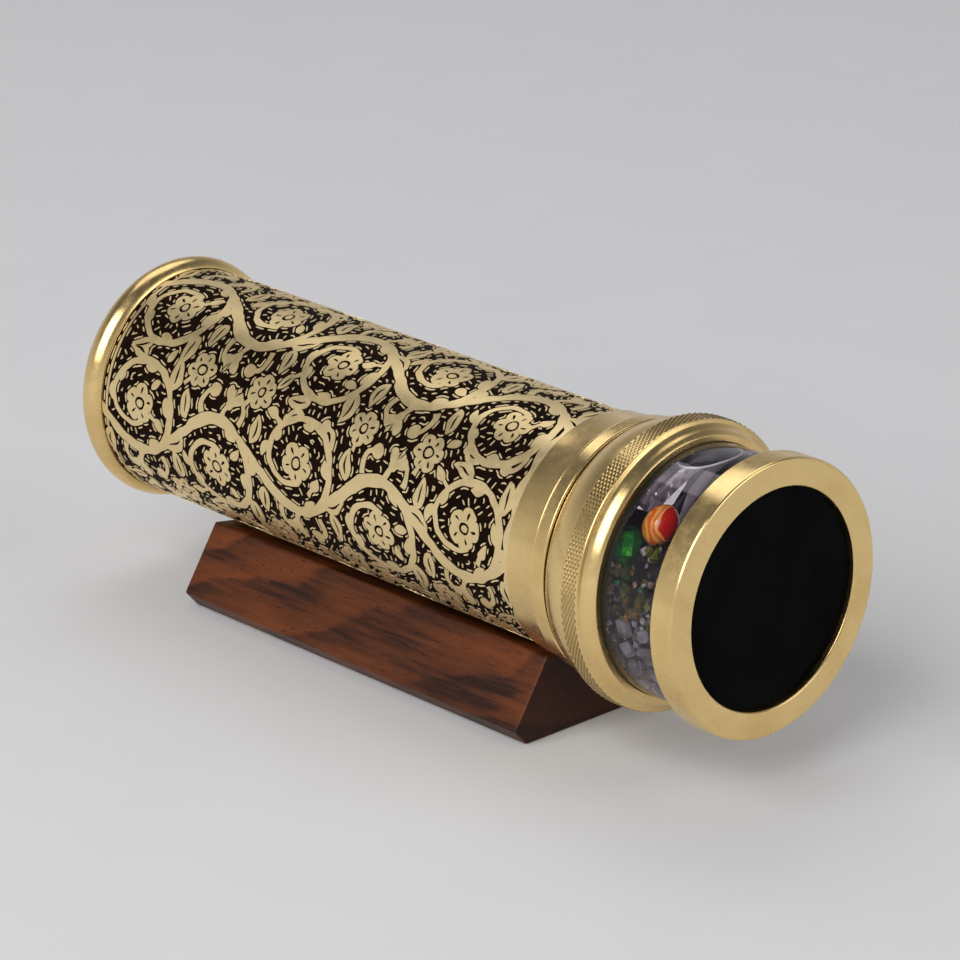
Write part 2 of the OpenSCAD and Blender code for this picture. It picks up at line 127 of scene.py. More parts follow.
class BrassSettings(bpy.types.PropertyGroup):
    colour: colour_setting("Brass", "Colour of the clean, polished brass", (0.88, 0.64, 0.28))
    roughness: bpy.props.FloatProperty(
        name="Roughness", description="Roughness of the fine polish", default=0.22, min=0, max=1)
    edge: length_setting("Edge", "Size of the broken edges", 0.1)
    steps: count_setting("Steps", "Steps of each turned surface", 240, 48, 512)
    knurl_pitch: length_setting("Knurl pitch", "Distance between the points of the knurl", 0.86, 0.4)
    knurl_depth: length_setting("Knurl depth", "Depth of the knurl", 0.3)


class OrnamentSettings(bpy.types.PropertyGroup):
    brass: colour_setting("Satin brass", "Colour of the raised, satin brass", (0.91, 0.72, 0.385))
    depth: length_setting("Etching depth", "Depth of the etched ground below the brass", 0.15, 0.02)
    ground: colour_setting("Ground", "Colour of the etched and darkened ground",
                           (0.0058, 0.0023, 0.0011))
    bands: count_setting("Stems", "Number of winding stems round the tube", 5, 2, 8)
    scrolls: count_setting("Scrolls", "Number of scrolls along each stem", 5, 2, 8)
    tick_width: length_setting("Dash width", "Width of the fine dashes", 0.36)
    tick_pitch: length_setting("Dash pitch", "Distance between rows of dashes", 1.35)
    seed: count_setting("Seed", "Seed of the ornament's small variations", 7)


class CellSettings(bpy.types.PropertyGroup):
    glass_ior: bpy.props.FloatProperty(
        name="Glass index", description="Refractive index of the wall and the oil", default=1.46,
        min=1, max=2)
    bubble_length: length_setting("Bubble length", "Length of the air bubble along the tube", 12.2)
    bubble_width: length_setting("Bubble width", "Width of the air bubble across the tube", 15.5)
    bubble_height: length_setting("Bubble height", "Height of the air bubble", 3.4)
    shards: count_setting("Shards", "Number of dark glass shards in the oil", 230)
    glints: count_setting("Glints", "Number of small coloured splinters by the wall", 110)
    chips: count_setting("Chips", "Number of small pale chips by the wall", 90)
    seed: count_setting("Seed", "Seed of the places of the shards", 3)


class CradleSettings(bpy.types.PropertyGroup):
    light_wood: colour_setting("Light grain", "Colour of the light grain", (0.150, 0.038, 0.0085))
    dark_wood: colour_setting("Dark grain", "Colour of the dark grain", (0.026, 0.0080, 0.0042))
    edge: length_setting("Edge", "Size of the broken edges", 0.5)


# shader helpers


class Nodes:
    """Short calls for the shader nodes of a material or the world. Most return an output."""

    def __init__(self, owner):
        self.owner, self.tree = owner, owner.node_tree

    def put(self, socket, value):
        """Links a socket to an output, or sets it to a value."""
        if isinstance(value, bpy.types.NodeSocket):
            self.tree.links.new(value, socket)
        elif socket.type == "RGBA" and len(value) == 3:
            socket.default_value = (*value, 1.0)
        else:
            socket.default_value = value

    def add(self, kind, sockets=None, **settings):
        """Adds a node and returns its outputs."""
        made = self.tree.nodes.new("ShaderNode" + kind)
        for key, value in settings.items():
            setattr(made, key, value)
        for key, value in (sockets or {}).items():
            self.put(made.inputs[key], value)
        return made.outputs

    def math(self, operation, *values, clamp=False):
        return self.add("Math", dict(enumerate(values)), operation=operation, use_clamp=clamp)[0]

    def plus(self, first, second, clamp=False):
        return self.math("ADD", first, second, clamp=clamp)

    def times(self, first, second):
        return self.math("MULTIPLY", first, second)

    def ramp(self, factor, stops, interpolation="LINEAR"):
        """Ramp with the given stops of place and colour."""
        made = self.tree.nodes.new("ShaderNodeValToRGB")
        self.put(made.inputs["Fac"], factor)
        made.color_ramp.interpolation = interpolation
        elements = made.color_ramp.elements
        while len(elements) < len(stops):
            elements.new(1.0)
        for element, (place, colour) in zip(elements, stops):
            element.position = place
            element.color = (*colour, 1.0)
        return made.outputs["Color"]

    def mix(self, factor, first, second):
        """Blend of two colours."""
        return self.add("Mix", {0: factor, 6: first, 7: second}, data_type="RGBA")[2]

    def place(self, scale=(1, 1, 1), location=(0, 0, 0), rotation=(0, 0, 0)):
        """Object coordinates, moved to a centre, turned and scaled."""
        place = self.add("TexCoord")["Object"]
        moved = self.add("VectorMath", {0: place, 1: location}, operation="SUBTRACT")[0]
        return self.add("Mapping", {"Vector": moved, "Rotation": rotation, "Scale": scale})[0]

    def around_axis(self):
        """Place along the tube, radius from its axis, and angle round it."""
        split = self.add("SeparateXYZ", {0: self.place(location=(0, 0, AXIS_Z))})
        squares = self.plus(*(self.math("POWER", self.math("ABSOLUTE", split[k]), 2.0)
                              for k in (1, 2)))
        return split[0], self.math("SQRT", squares), self.math("ARCTAN2", split[2], split[1])

    def noise(self, place, scale, detail, roughness, distortion=0.0):
        return self.add("TexNoise", {"Vector": place, "Scale": scale, "Detail": detail,
                                     "Roughness": roughness, "Distortion": distortion})[0]

    def grain(self, scale, detail, roughness, location=(0, 0, 0), rotation=(0, 0, 0)):
        """Noise stretched by a scale along each axis."""
        return self.noise(self.place(scale, location, rotation), 1.0, detail, roughness)

    def remap(self, value, low, high, to_low=0.0, to_high=1.0):
        return self.add("MapRange", {"Value": value, "From Min": low, "From Max": high,
                                     "To Min": to_low, "To Max": to_high})[0]

    def bump(self, height, distance, strength, normal=None):
        sockets = {"Height": height, "Distance": distance, "Strength": strength}
        if normal is not None:
            sockets["Normal"] = normal
        return self.add("Bump", sockets)[0]

    def principled(self, colour, roughness, specular=0.5, **more):
        """Principled shader. Further sockets are named with _ for their spaces."""
        sockets = {"Base Color": colour, "Roughness": roughness, "Specular IOR Level": specular}
        sockets.update((key.replace("_", " ").title(), value) for key, value in more.items())
        return self.add("BsdfPrincipled", sockets)[0]

    def glass(self, colour, ior, roughness=0.0):
        return self.add("BsdfGlass", {"Color": colour, "IOR": ior, "Roughness": roughness})[0]

    def blend(self, factor, first, second):
        """Mix of two shaders."""
        return self.add("MixShader", {0: factor, 1: first, 2: second})[0]

    def clear_to_lamps(self, shader, tone, share=1.0):
        """Lets a share of the lamps' light pass, in a tone, where glass would hold it all back."""
        ray = self.add("LightPath")["Is Shadow Ray"]
        if share < 1.0:
            ray = self.times(ray, share)
        return self.blend(ray, shader, self.add("BsdfTransparent", {"Color": tone})[0])

    def finish(self, shader):
        """Links the shader to the output and returns the material."""
        end = self.tree.nodes.new("ShaderNodeOutputMaterial")
        self.tree.links.new(shader, end.inputs["Surface"])
        return self.owner


def new_material(name):
    """Nodes of a new, empty material."""
    material = bpy.data.materials.new(name)
    material.use_nodes = True
    material.node_tree.nodes.clear()
    return Nodes(material)


# materials


def brass_material(name, settings, marks=1.0, tarnish=0.5, groove_shade_r=None, satin=0.0, colour=None):
    """Turned brass: fine marks round the axis, faint tarnish, and painted shade in the knurl's
    grooves.
    """
    n = new_material(name)
    along, radius, _ = n.around_axis()
    ring_place = n.add("CombineXYZ", {0: along, 1: radius, 2: 0.0})[0]
    fine = n.noise(ring_place, 4200.0, 3.0, 0.6)
    broad = n.noise(ring_place, 900.0, 2.0, 0.5)
    place = n.place()
    cloud = n.noise(place, 70.0, 4.0, 0.6, 0.4)
    spots = n.noise(place, 420.0, 3.0, 0.65)
    colour = tuple(colour or settings.colour)
    dull = tuple(c * share for c, share in zip(colour, (0.72, 0.64, 0.50)))
    shade = n.mix(n.remap(cloud, 0.42, 0.78, 0.0, tarnish), colour, dull)
    specks = n.remap(spots, 0.66, 0.8, 0.0, 0.35 * tarnish)
    shade = n.mix(specks, shade, (0.25, 0.15, 0.06))
    # Painted shade: by radius, the colour darkens to dark brown towards the bottom of the knurl's
    # grooves, standing in for the shade in them.
    if groove_shade_r:
        shade = n.mix(n.remap(radius, *groove_shade_r), (0.14, 0.085, 0.032), shade)
    polish = settings.roughness + satin
    rough = n.plus(n.remap(spots, 0.3, 0.7, polish - 0.05, polish + 0.06),
                   n.remap(cloud, 0.4, 0.75, 0.0, 0.07))
    normal = n.bump(fine, 0.004 * MM * marks, 0.5)
    normal = n.bump(broad, 0.012 * MM * marks, 0.5, normal)
    return n.finish(n.principled(shade, rough, metallic=1.0, normal=normal))


def ground_material(colour):
    """The etched ground: darkened, matt and slightly pitted."""
    n = new_material("etched_ground")
    place = n.place()
    pits = n.noise(place, 3800.0, 3.0, 0.6)
    cloud = n.noise(place, 160.0, 4.0, 0.6)
    warm = tuple(c * share for c, share in zip(colour, (2.3, 1.9, 1.6)))
    shade = n.mix(n.remap(cloud, 0.4, 0.75), tuple(colour), warm)
    rough = n.remap(pits, 0.3, 0.7, 0.42, 0.66)
    return n.finish(n.principled(shade, rough, 0.03, normal=n.bump(pits, 0.03 * MM, 0.7)))


def wood_material(settings):
    """Oiled rosewood: slanting flames of lighter grain, fine fibres and short open pores."""
    n = new_material("rosewood")
    slant, lean, flame_period = 0.42, 0.35, 0.0125
    x, y, z = n.add("SeparateXYZ", {0: n.place()})
    warp = n.remap(n.grain((26, 40, 55), 3.0, 0.5), 0.2, 0.8, -0.0085, 0.0085)
    level = n.plus(n.math("SUBTRACT", z, n.times(x, slant)), n.plus(warp, n.times(y, lean)))
    flame = n.math("FRACT", n.plus(n.math("DIVIDE", level, flame_period), 10.37))
    fibre = n.grain((60, 900, 900), 4.0, 0.62, rotation=(0.0, -0.06, 0.05))
    streak = n.grain((22, 210, 210), 3.0, 0.55, rotation=(0.0, -0.14, 0.09))
    patch = n.grain((20, 34, 34), 2.0, 0.5, location=(0.4, 0, 0))
    rise = n.ramp(flame, [(place, (value,) * 3) for place, value in (
        (0.0, 0.1), (0.16, 0.92), (0.42, 0.62), (0.75, 0.22), (1.0, 0.1))], "EASE")
    figure = n.times(rise, n.remap(patch, 0.35, 0.62, 0.25, 1.0))
    figure = n.plus(figure, n.plus(n.remap(streak, 0.3, 0.7, -0.12, 0.24),
                                   n.remap(fibre, 0.3, 0.7, -0.20, 0.24)), clamp=True)
    dark, light = tuple(settings.dark_wood), tuple(settings.light_wood)
    middle = tuple(0.48 * (a + b) for a, b in zip(dark, light))
    shade = n.ramp(figure, [(0.0, dark), (0.30, middle), (0.95, light)])
    facing = n.add("SeparateXYZ", {0: n.add("NewGeometry")["True Normal"]})[0]
    end = n.math("GREATER_THAN", n.math("ABSOLUTE", facing), 0.9)
    shade = n.mix(n.times(end, 0.72), shade, (0.012, 0.0035, 0.003))
    pore = n.remap(n.grain((520, 3100, 3100), 0.0, 0.3, rotation=(0.0, 0.05, 0.06)), 0.715, 0.77)
    shade = n.mix(n.times(pore, 0.6), shade, (0.007, 0.003, 0.0025))
    height = n.math("SUBTRACT", n.times(fibre, 0.3), pore)
    rough = n.remap(fibre, 0.3, 0.7, 0.36, 0.52)
    return n.finish(n.principled(shade, rough, 0.2, coat_weight=0.03, coat_roughness=0.25,
                                 normal=n.bump(height, 0.05 * MM, 0.6)))


def clear_material(name, ior, colour):
    """Refracting glass that lets the lamps through."""
    n = new_material(name)
    return n.finish(n.clear_to_lamps(n.glass(colour, ior), tuple(c * 0.96 for c in colour)))


def open_material(name):
    """A face between the wall and the oil, which bends no light."""
    n = new_material(name)
    return n.finish(n.add("BsdfTransparent", {"Color": (1, 1, 1)})[0])


def plain_material(name, colour, roughness, specular=0.4, grain=900.0, depth=0.01, wander=0.25,
                   metallic=0.0):
    """Moulded or painted surface with a fine grain and a slight change of shade."""
    n = new_material(name)
    place = n.place()
    fine = n.noise(place, grain, 3.0, 0.6)
    cloud = n.noise(place, 90.0, 3.0, 0.5)
    lighter = tuple(min(1.0, c * (1 + wander) + 0.002) for c in colour)
    shade = n.mix(n.remap(cloud, 0.35, 0.7), colour, lighter)
    rough = n.remap(fine, 0.3, 0.7, roughness - 0.05, roughness + 0.05)
    return n.finish(n.principled(shade, rough, specular, metallic=metallic,
                                 normal=n.bump(fine, depth * MM, 0.5)))


def mirror_material():
    """Front-surface mirror with a faint haze."""
    n = new_material("front_surface_mirror")
    haze = n.noise(n.place(), 260.0, 3.0, 0.5)
    return n.finish(n.principled((0.88, 0.89, 0.90), n.remap(haze, 0.3, 0.7, 0.015, 0.035),
                                 metallic=1.0))


def tinted_glass(name, colour, body, ior, roughness, cloudy, veins=400.0):
    """Glass of a loose piece in the oil: part refracting, part cloudy, with veins of colour."""
    n = new_material(name)
    tone = n.mix(n.remap(n.noise(n.place(), veins, 3.0, 0.6), 0.35, 0.65), colour, body)
    milk = n.blend(0.45, n.principled(tone, 0.12), n.add("BsdfTranslucent", {"Color": tone})[0])
    shader = n.blend(cloudy, n.glass(tone, ior, roughness), milk)
    return n.finish(n.clear_to_lamps(shader, tone, 1.0 - cloudy))


def bead_material():
    """Faceted green glass, with painted shade at its rim and painted glints where it is looked into.
    """
    n = new_material("green_glass")
    vein = n.noise(n.place(), 620.0, 2.0, 0.6, 0.6)
    # Painted glints and shade: the colour follows how squarely a facet faces the view, bright green in
    # the middle and dark at the rim, with noise spots of painted glint.
    depth = n.plus(n.add("LayerWeight", {"Blend": 0.38})["Facing"],
                   n.remap(vein, 0.35, 0.62, 0.16, -0.05))
    tone = n.ramp(depth, [(0.0, (0.09, 0.60, 0.05)), (0.07, (0.012, 0.22, 0.02)),
                          (0.20, (0.005, 0.12, 0.025)), (0.6, (0.002, 0.055, 0.018))])
    return n.finish(n.blend(0.7, n.glass((0.02, 0.34, 0.08), 1.35, 0.02),
                            n.principled(tone, 0.08, 0.7)))


def rod_material():
    """Clear rods with a faint lavender cast and painted highlight streaks along them."""
    n = new_material("rod_glass")
    lie = (math.radians(-31), 0, 0)
    # Painted highlights: pale streaks of near-white shine along the rods, placed by noise.
    streak = n.remap(n.grain((800, 800, 70), 2.0, 0.5, rotation=lie), 0.60, 0.68)
    facet = n.grain((420, 420, 120), 1.0, 0.4, rotation=lie)
    tone = n.mix(n.remap(facet, 0.4, 0.6), (0.34, 0.29, 0.34), (0.80, 0.74, 0.80))
    body = n.blend(0.35, n.glass(tone, 1.3, 0.04), n.principled(tone, 0.15, 0.6))
    with_painted_streaks = n.blend(streak, body, n.principled((0.95, 0.93, 0.95), 0.1, 0.8))
    return n.finish(n.clear_to_lamps(with_painted_streaks, tone, 0.65))


def striped_material(centre, size):
    """Opaque glass with a red pole and rings of orange and cream round it."""
    n = new_material("striped_glass")
    place = n.place((1 / size,) * 3, centre)
    pole = n.add("VectorMath", {0: place, 1: (0.90, 0.03, 0.43)}, operation="DOT_PRODUCT")["Value"]
    wobble = n.remap(n.noise(place, 1.4, 2.0, 0.5), 0.3, 0.7, -0.16, 0.16)
    red, orange = (0.38, 0.007, 0.003), (0.54, 0.10, 0.007)
    cream, amber = (0.58, 0.29, 0.06), (0.40, 0.13, 0.018)
    shade = n.ramp(n.remap(n.plus(pole, wobble), -1.0, 1.0), [
        (0.0, amber), (0.30, amber), (0.33, cream), (0.40, cream), (0.43, orange), (0.52, orange),
        (0.55, cream), (0.60, cream), (0.63, amber), (0.70, orange), (0.735, cream),
        (0.765, cream), (0.79, red), (1.0, red)])
    return n.finish(n.principled(shade, 0.12, 0.6, coat_weight=0.4, coat_roughness=0.05))


def bubble_material(cell, middle, turn):
    """Air under the wall: clear glass mixed with painted colour, a grey middle with painted shade
    towards a thin painted highlight at the rim.
    """
    n = new_material("air_in_oil")
    along, _, angle = n.around_axis()
    off_x = n.math("DIVIDE", n.math("SUBTRACT", along, middle), cell.bubble_length / 2)
    off_y = n.times(n.math("SUBTRACT", angle, turn), CHAMBER_R / (cell.bubble_width / 2))
    reach = n.math("SQRT", n.plus(n.times(off_x, off_x), n.times(off_y, off_y)))
    # Painted shade and highlight: the colour darkens from the middle outwards, then a thin bright band
    # near the edge stands in for the rim's highlight.
    shade = n.ramp(reach, [(0.0, (0.11, 0.11, 0.12)), (0.45, (0.055, 0.055, 0.06)),
                           (0.78, (0.022, 0.022, 0.025)), (0.90, (0.015, 0.015, 0.018)),
                           (0.94, (0.70, 0.70, 0.74)), (1.0, (0.20, 0.20, 0.22))])
    air = n.glass((0.5, 0.5, 0.52), 1 / cell.glass_ior)
    body = n.blend(0.8, air, n.principled(shade, 0.12, 0.4))
    return n.finish(n.clear_to_lamps(body, (0.9, 0.9, 0.9)))


def shard_material(name, colour, specular, metallic):
    """A dark or coloured splinter of glass or foil in the oil, with a slight change of tone."""
    n = new_material(name)
    cloud = n.noise(n.place(), 260.0, 2.0, 0.5)
    shade = n.mix(n.remap(cloud, 0.35, 0.65), colour, tuple(c * 0.35 for c in colour))
    return n.finish(n.principled(shade, 0.14, specular, metallic=metallic))


# mesh helpers


def link(name, data):
    """Puts a new object in the scene."""
    made = bpy.data.objects.new(name, data)
    bpy.context.scene.collection.objects.link(made)
    return made


def to_object(bm, name, body, materials, replaces=(), smooth=True, sharp=30.0):
    """Turns a bmesh into a piece that rides on a body."""
    mesh = bpy.data.meshes.new(name)
    bm.to_mesh(mesh)
    bm.free()
    piece = link(name, mesh)
    for material in materials:
        mesh.materials.append(material)
    if smooth:
        mesh.shade_smooth()
        mesh.set_sharp_from_angle(angle=math.radians(sharp))
    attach(piece, body)
    if replaces:
        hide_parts(*replaces)
    return piece


def even_shading(piece):
    """Keeps flat bands flat beside their small bevels."""
    modifier = piece.modifiers.new("Even shading", "WEIGHTED_NORMAL")
    modifier.keep_sharp = True
    modifier.weight = 60


def bevel(bm, items, size, kind):
    """Rounds edges or the corners of a profile."""
    bmesh.ops.bevel(bm, geom=items, offset=size, offset_type="OFFSET", affect=kind, segments=3,
                    profile=0.5, material=-1, clamp_overlap=True)


def half_section(node):
    """Half profile of a turned CAD node, as edges in the upright plane above the axis."""
    bm = bmesh.new()
    bm.from_mesh(NODES[node].data)
    bmesh.ops.remove_doubles(bm, verts=bm.verts, dist=TINY)
    for normal, outer in (((0, 0, 1), False), ((0, 1, 0), True)):
        bmesh.ops.bisect_plane(bm, geom=bm.verts[:] + bm.edges[:] + bm.faces[:], dist=TINIER,
                               plane_co=(0, 0, AXIS_Z), plane_no=normal, clear_outer=outer,
                               clear_inner=True)
    loose = [e for e in bm.edges if all(abs(v.co.z - AXIS_Z) < TINY for v in e.verts)]
    bmesh.ops.delete(bm, geom=loose, context="EDGES")
    bmesh.ops.remove_doubles(bm, verts=bm.verts, dist=TINY)
    return bm


def corner_angle(vert):
    """How sharply a profile turns at a vertex, in degrees."""
    if len(vert.link_edges) != 2:
        return 0.0
    a, b = (e.other_vert(vert).co - vert.co for e in vert.link_edges)
    return 180.0 - math.degrees(a.angle(b)) if a.length and b.length else 0.0


def straighten(bm):
    """Takes out profile points that lie on a straight line."""
    flat = [v for v in bm.verts if len(v.link_edges) == 2 and corner_angle(v) < 0.4]
    bmesh.ops.dissolve_verts(bm, verts=flat)


def break_corners(bm, size, sharp=24.0):
    """Rounds the profile's sharp corners."""
    ends = [v for v in bm.verts if len(v.link_edges) == 1]
    if len(ends) == 2:
        bmesh.ops.contextual_create(bm, geom=ends)
    bmesh.ops.contextual_create(bm, geom=bm.edges[:])
    bevel(bm, [v for v in bm.verts if corner_angle(v) > sharp and v.co.z > AXIS_Z + 1e-5], size,
          "VERTICES")
    bmesh.ops.delete(bm, geom=bm.faces[:], context="FACES_ONLY")
    low = [e for e in bm.edges if all(v.co.z < AXIS_Z + TINY for v in e.verts)]
    bmesh.ops.delete(bm, geom=low, context="EDGES")


def spin_round(bm, steps):
    """Turns a profile round the tube's axis into a closed skin that faces outwards."""
    bmesh.ops.spin(bm, geom=bm.verts[:] + bm.edges[:], cent=(0, 0, AXIS_Z), axis=(1, 0, 0),
                   dvec=(0, 0, 0), angle=2 * math.pi, steps=steps, use_merge=True,
                   use_duplicate=False)
    bmesh.ops.remove_doubles(bm, verts=bm.verts, dist=TINIER)
    bmesh.ops.recalc_face_normals(bm, faces=bm.faces)


def radius_of(point):
    return math.hypot(point.y, point.z - AXIS_Z)


def cut_profile(bm, stations):
    """Adds points to a profile at the given stations."""
    for station in stations:
        bmesh.ops.bisect_plane(bm, geom=bm.verts[:] + bm.edges[:], dist=TINIER,
                               plane_co=(FRONT_X - station, 0, AXIS_Z), plane_no=(1, 0, 0))


def lower_band(bm, front, back, radius, depth):
    """Lowers the points of a profile between two stations and outside a radius."""
    for vert in bm.verts:
        if front < station_of(vert.co.x) < back and vert.co.z - AXIS_Z > radius:
            vert.co.z -= depth


def paint_faces(piece, choose):
    """Gives each face the material that choose picks by its station and radius."""
    for face in piece.data.polygons:
        face.material_index = choose(station_of(face.center.x), radius_of(face.center))


def turned_piece(context, node, name, body, materials, edge=None, shape=None):
    """A finely turned version of a CAD node. shape may change the profile first."""
    brass = context.scene.brass
    bm = half_section(node)
    straighten(bm)
    if shape:
        shape(bm)
    break_corners(bm, brass.edge if edge is None else edge)
    spin_round(bm, brass.steps)
    piece = to_object(bm, name, body, materials, (node,))
    even_shading(piece)
    return piece


def dress(nodes, material):
    """Gives CAD nodes their material."""
    for node in nodes:
        mesh = NODES[node].data
        mesh.materials.clear()
        mesh.materials.append(material)


# ornament

BRASS, HOLE, INLAY = 1, -1, 2
SEAM_MARGIN = 1.5
# Length of the steps in which a dash is traced, in millimetres.
TRACE_STEP = 0.25
MOST_FLOWERS = 400
RELIEF_COLUMNS = 128
# Leaves of a scroll: share of the way along its spiral, side, length and width.
SCROLL_LEAVES = ((0.17, -1, 4.4, 2.3), (0.25, 1, 7.2, 3.7), (0.33, -1, 4.6, 2.4), (0.41, 1, 7.6, 3.9),
                 (0.50, -1, 3.9, 2.1), (0.57, 1, 6.6, 3.4), (0.66, -1, 3.0, 1.8), (0.72, 1, 4.2, 2.2))


def heading(angle):
    """Unit vector in a direction."""
    return np.array([math.cos(angle), math.sin(angle)])


def bent_path(root, angles, length):
    """Path of equal steps from a root in the given directions."""
    steps = np.stack([np.cos(angles), np.sin(angles)], 1) * (length / (len(angles) - 1))
    return np.array(root) + np.cumsum(steps, 0)


def steps_and_lefts(path, least=0.0):
    """Unit vectors along a path, and to the left of it. least is for paths that double back."""
    step = np.gradient(path, axis=0)
    step /= np.linalg.norm(step, axis=1)[:, None] + least
    return step, np.stack([-step[:, 1], step[:, 0]], 1)


class Drawing:
    """The ornament on the unrolled tube, in millimetres: x runs round it and y along it."""

    def __init__(self, settings, front, back):
        self.settings = settings
        self.round = 2 * math.pi * TUBE_R / MM
        self.front, self.back = front, back
        self.half_wave = (back - front) / settings.scrolls
        self.shapes = []
        self.random = np.random.default_rng(settings.seed)

    def chance(self, low, high):
        return float(self.random.uniform(low, high))

    def add(self, outline, level=BRASS):
        """Adds a closed outline: brass, a hole in it, or an inlay of brass in the hole."""
        outline = self.by_hand(np.asarray(outline, float))
        for shift in (-self.round, 0.0, self.round):
            moved = outline + (shift, 0.0)
            if moved[:, 0].max() > -SEAM_MARGIN and moved[:, 0].min() < self.round + SEAM_MARGIN:
                self.shapes.append((moved, level))

    def by_hand(self, points):
        """Lets a line wander a little, as a drawn one does."""
        turn = 2 * math.pi / self.round
        x, y = points[:, 0] * turn, points[:, 1]
        return points + np.stack([0.14 * np.sin(24 * x + 0.9 * y) + 0.1 * np.sin(37 * x - 1.4 * y),
                                  0.14 * np.sin(29 * x - 0.8 * y) + 0.1 * np.sin(18 * x + 1.5 * y)], 1)

    def ribbon(self, path, widths, level=BRASS):
        """A band of changing width along a path."""
        path = np.asarray(path, float)
        side = steps_and_lefts(path)[1] * (np.asarray(widths)[:, None] / 2)
        self.add(np.concatenate([path + side, (path - side)[::-1]]), level)

    def drop(self, root, direction, length, width, level=BRASS, count=16, fat=0.62):
        """A teardrop from its pointed root. A small fat makes its root broad."""
        turn = np.linspace(0, 2 * math.pi, count, endpoint=False)
        along = (1 - np.cos(turn)) / 2
        across = np.sin(turn) * np.power(along, fat)
        along, across = along * length, across * width / 2 / 0.78
        c, s = heading(direction)
        self.add(np.stack([root[0] + c * along - s * across, root[1] + s * along + c * across], 1),
                 level)

    def disc(self, centre, radius, level=BRASS, count=12):
        turn = np.linspace(0, 2 * math.pi, count, endpoint=False)
        self.add(np.stack([centre[0] + radius * np.cos(turn), centre[1] + radius * np.sin(turn)], 1),
                 level)

    def rosette(self, centre, radius, petals, turn):
        """A flower of round petals, each with a slit, round a boss in a groove."""
        for k in range(petals):
            angle = turn + 2 * math.pi * k / petals
            unit = heading(angle)
            self.drop(centre + unit * radius * 0.1, angle, radius * 0.92,
                      radius * 5.3 / petals * 0.86, fat=0.40)
            self.drop(centre + unit * radius * 0.44, angle, radius * 0.36, radius * 0.15, HOLE, 8)
        self.disc(centre, radius * 0.34, HOLE)
        self.disc(centre, radius * 0.22, INLAY, 10)

    def leaf(self, root, direction, length, width, bend):
        """A pointed leaf with a bent midrib and a slit along it."""
        steps = np.linspace(0, 1, 11)
        path = bent_path(root, direction + bend * (steps - 0.2), length)
        swell = np.sin(math.pi * np.power(steps, 0.8)) ** 0.8
        self.ribbon(path, 0.3 + (width - 0.3) * swell)
        if width > 2.4:
            self.ribbon(path[2:9], 0.1 + 0.42 * np.sin(math.pi * np.linspace(0.08, 0.95, 7)), HOLE)

    def curl(self, root, direction, length, width, bend):
        """A stalk that bends over and ends in a round head."""
        steps = np.linspace(0, 1, 10)
        path = bent_path(root, direction + bend * steps ** 1.4, length)
        self.ribbon(path, 1.5 - 0.5 * steps)
        self.disc(path[-1], width / 2)

    def bud(self, centre, radius, direction):
        """A bud of three pointed petals over a round cup."""
        unit = heading(direction)
        root = centre - unit * radius * 0.75
        for spread in (-0.62, 0.62):
            self.drop(root, direction + spread, radius * 1.5, radius * 0.85, count=14, fat=0.75)
        self.drop(root + unit * radius * 1.75, direction + math.pi, radius * 1.75, radius * 0.85,
                  count=14, fat=0.75)
        self.disc(root + unit * radius * 0.2, radius * 0.42)
        for spread in (-0.3, 0.3):
            self.drop(root + unit * radius * 0.75, direction + spread, radius * 0.8, radius * 0.13,
                      HOLE, 8)

    def stem_place(self, band, y):
        """Place of a winding stem at a distance along the tube, and its phase."""
        bands = self.settings.bands
        phase = math.pi * ((y - self.front) / self.half_wave + (band % 2))
        return self.round * (band + 0.5) / bands + 0.2 * self.round / bands * np.sin(phase), phase

    def vines(self):
        """Winding stems with scrolls that end in rosettes, and sprigs on their outer sides."""
        for band in range(self.settings.bands):
            ys = np.linspace(self.front - 1.5, self.back + 1.0, 110)
            xs, phase = self.stem_place(band, ys)
            self.ribbon(np.stack([xs, ys], 1), 2.0 + 0.4 * np.cos(2 * phase))
            for k in range(self.settings.scrolls):
                middle = self.front + self.half_wave * (k + 0.5)
                top = np.array([float(self.stem_place(band, middle)[0]), middle])
                side = 1.0 if (k + band) % 2 == 0 else -1.0
                self.scroll(top, side, k + band)
                self.outer(top, side)

    def scroll(self, top, side, k):
        """A spiral branch on the hollow side of the stem's bulge, with its flower and leaves."""
        big = self.half_wave * 0.43
        centre = top + (-side * (big - 0.8), 0.3)
        wind, start = -side, (0.0 if side > 0 else math.pi)
        steps = np.linspace(0, 1, 64)
        hook = np.clip((steps - 0.70) / 0.30, 0, 1)
        angles = start - wind * 0.95 + wind * 1.2 * 2 * math.pi * steps
        radii = big + 0.4 - 0.30 * big * steps - 0.36 * big * hook * hook * (3 - 2 * hook)
        path = centre + np.stack([radii * np.cos(angles), radii * np.sin(angles)], 1)
        self.ribbon(path, 2.1 - 0.9 * steps)
        self.rosette(centre, 0.40 * big, 5 + k % 2, self.chance(0, 1))
        for share, out, length, width in SCROLL_LEAVES:
            i = int(share * 63)
            tangent = path[i + 1] - path[i]
            grows = math.atan2(tangent[1], tangent[0])
            turn = -out * wind * (0.8 if out > 0 else 0.65)
            bend = -turn * (1.2 if out > 0 else 1.0) + 0.12 * self.chance(-1, 1)
            if (k + int(share * 100)) % 3 == 0 and out > 0:
                self.curl(path[i], grows + turn, length * 0.85, width * 0.8, bend * 2.0)
            else:
                self.leaf(path[i], grows + turn, length, width, bend)

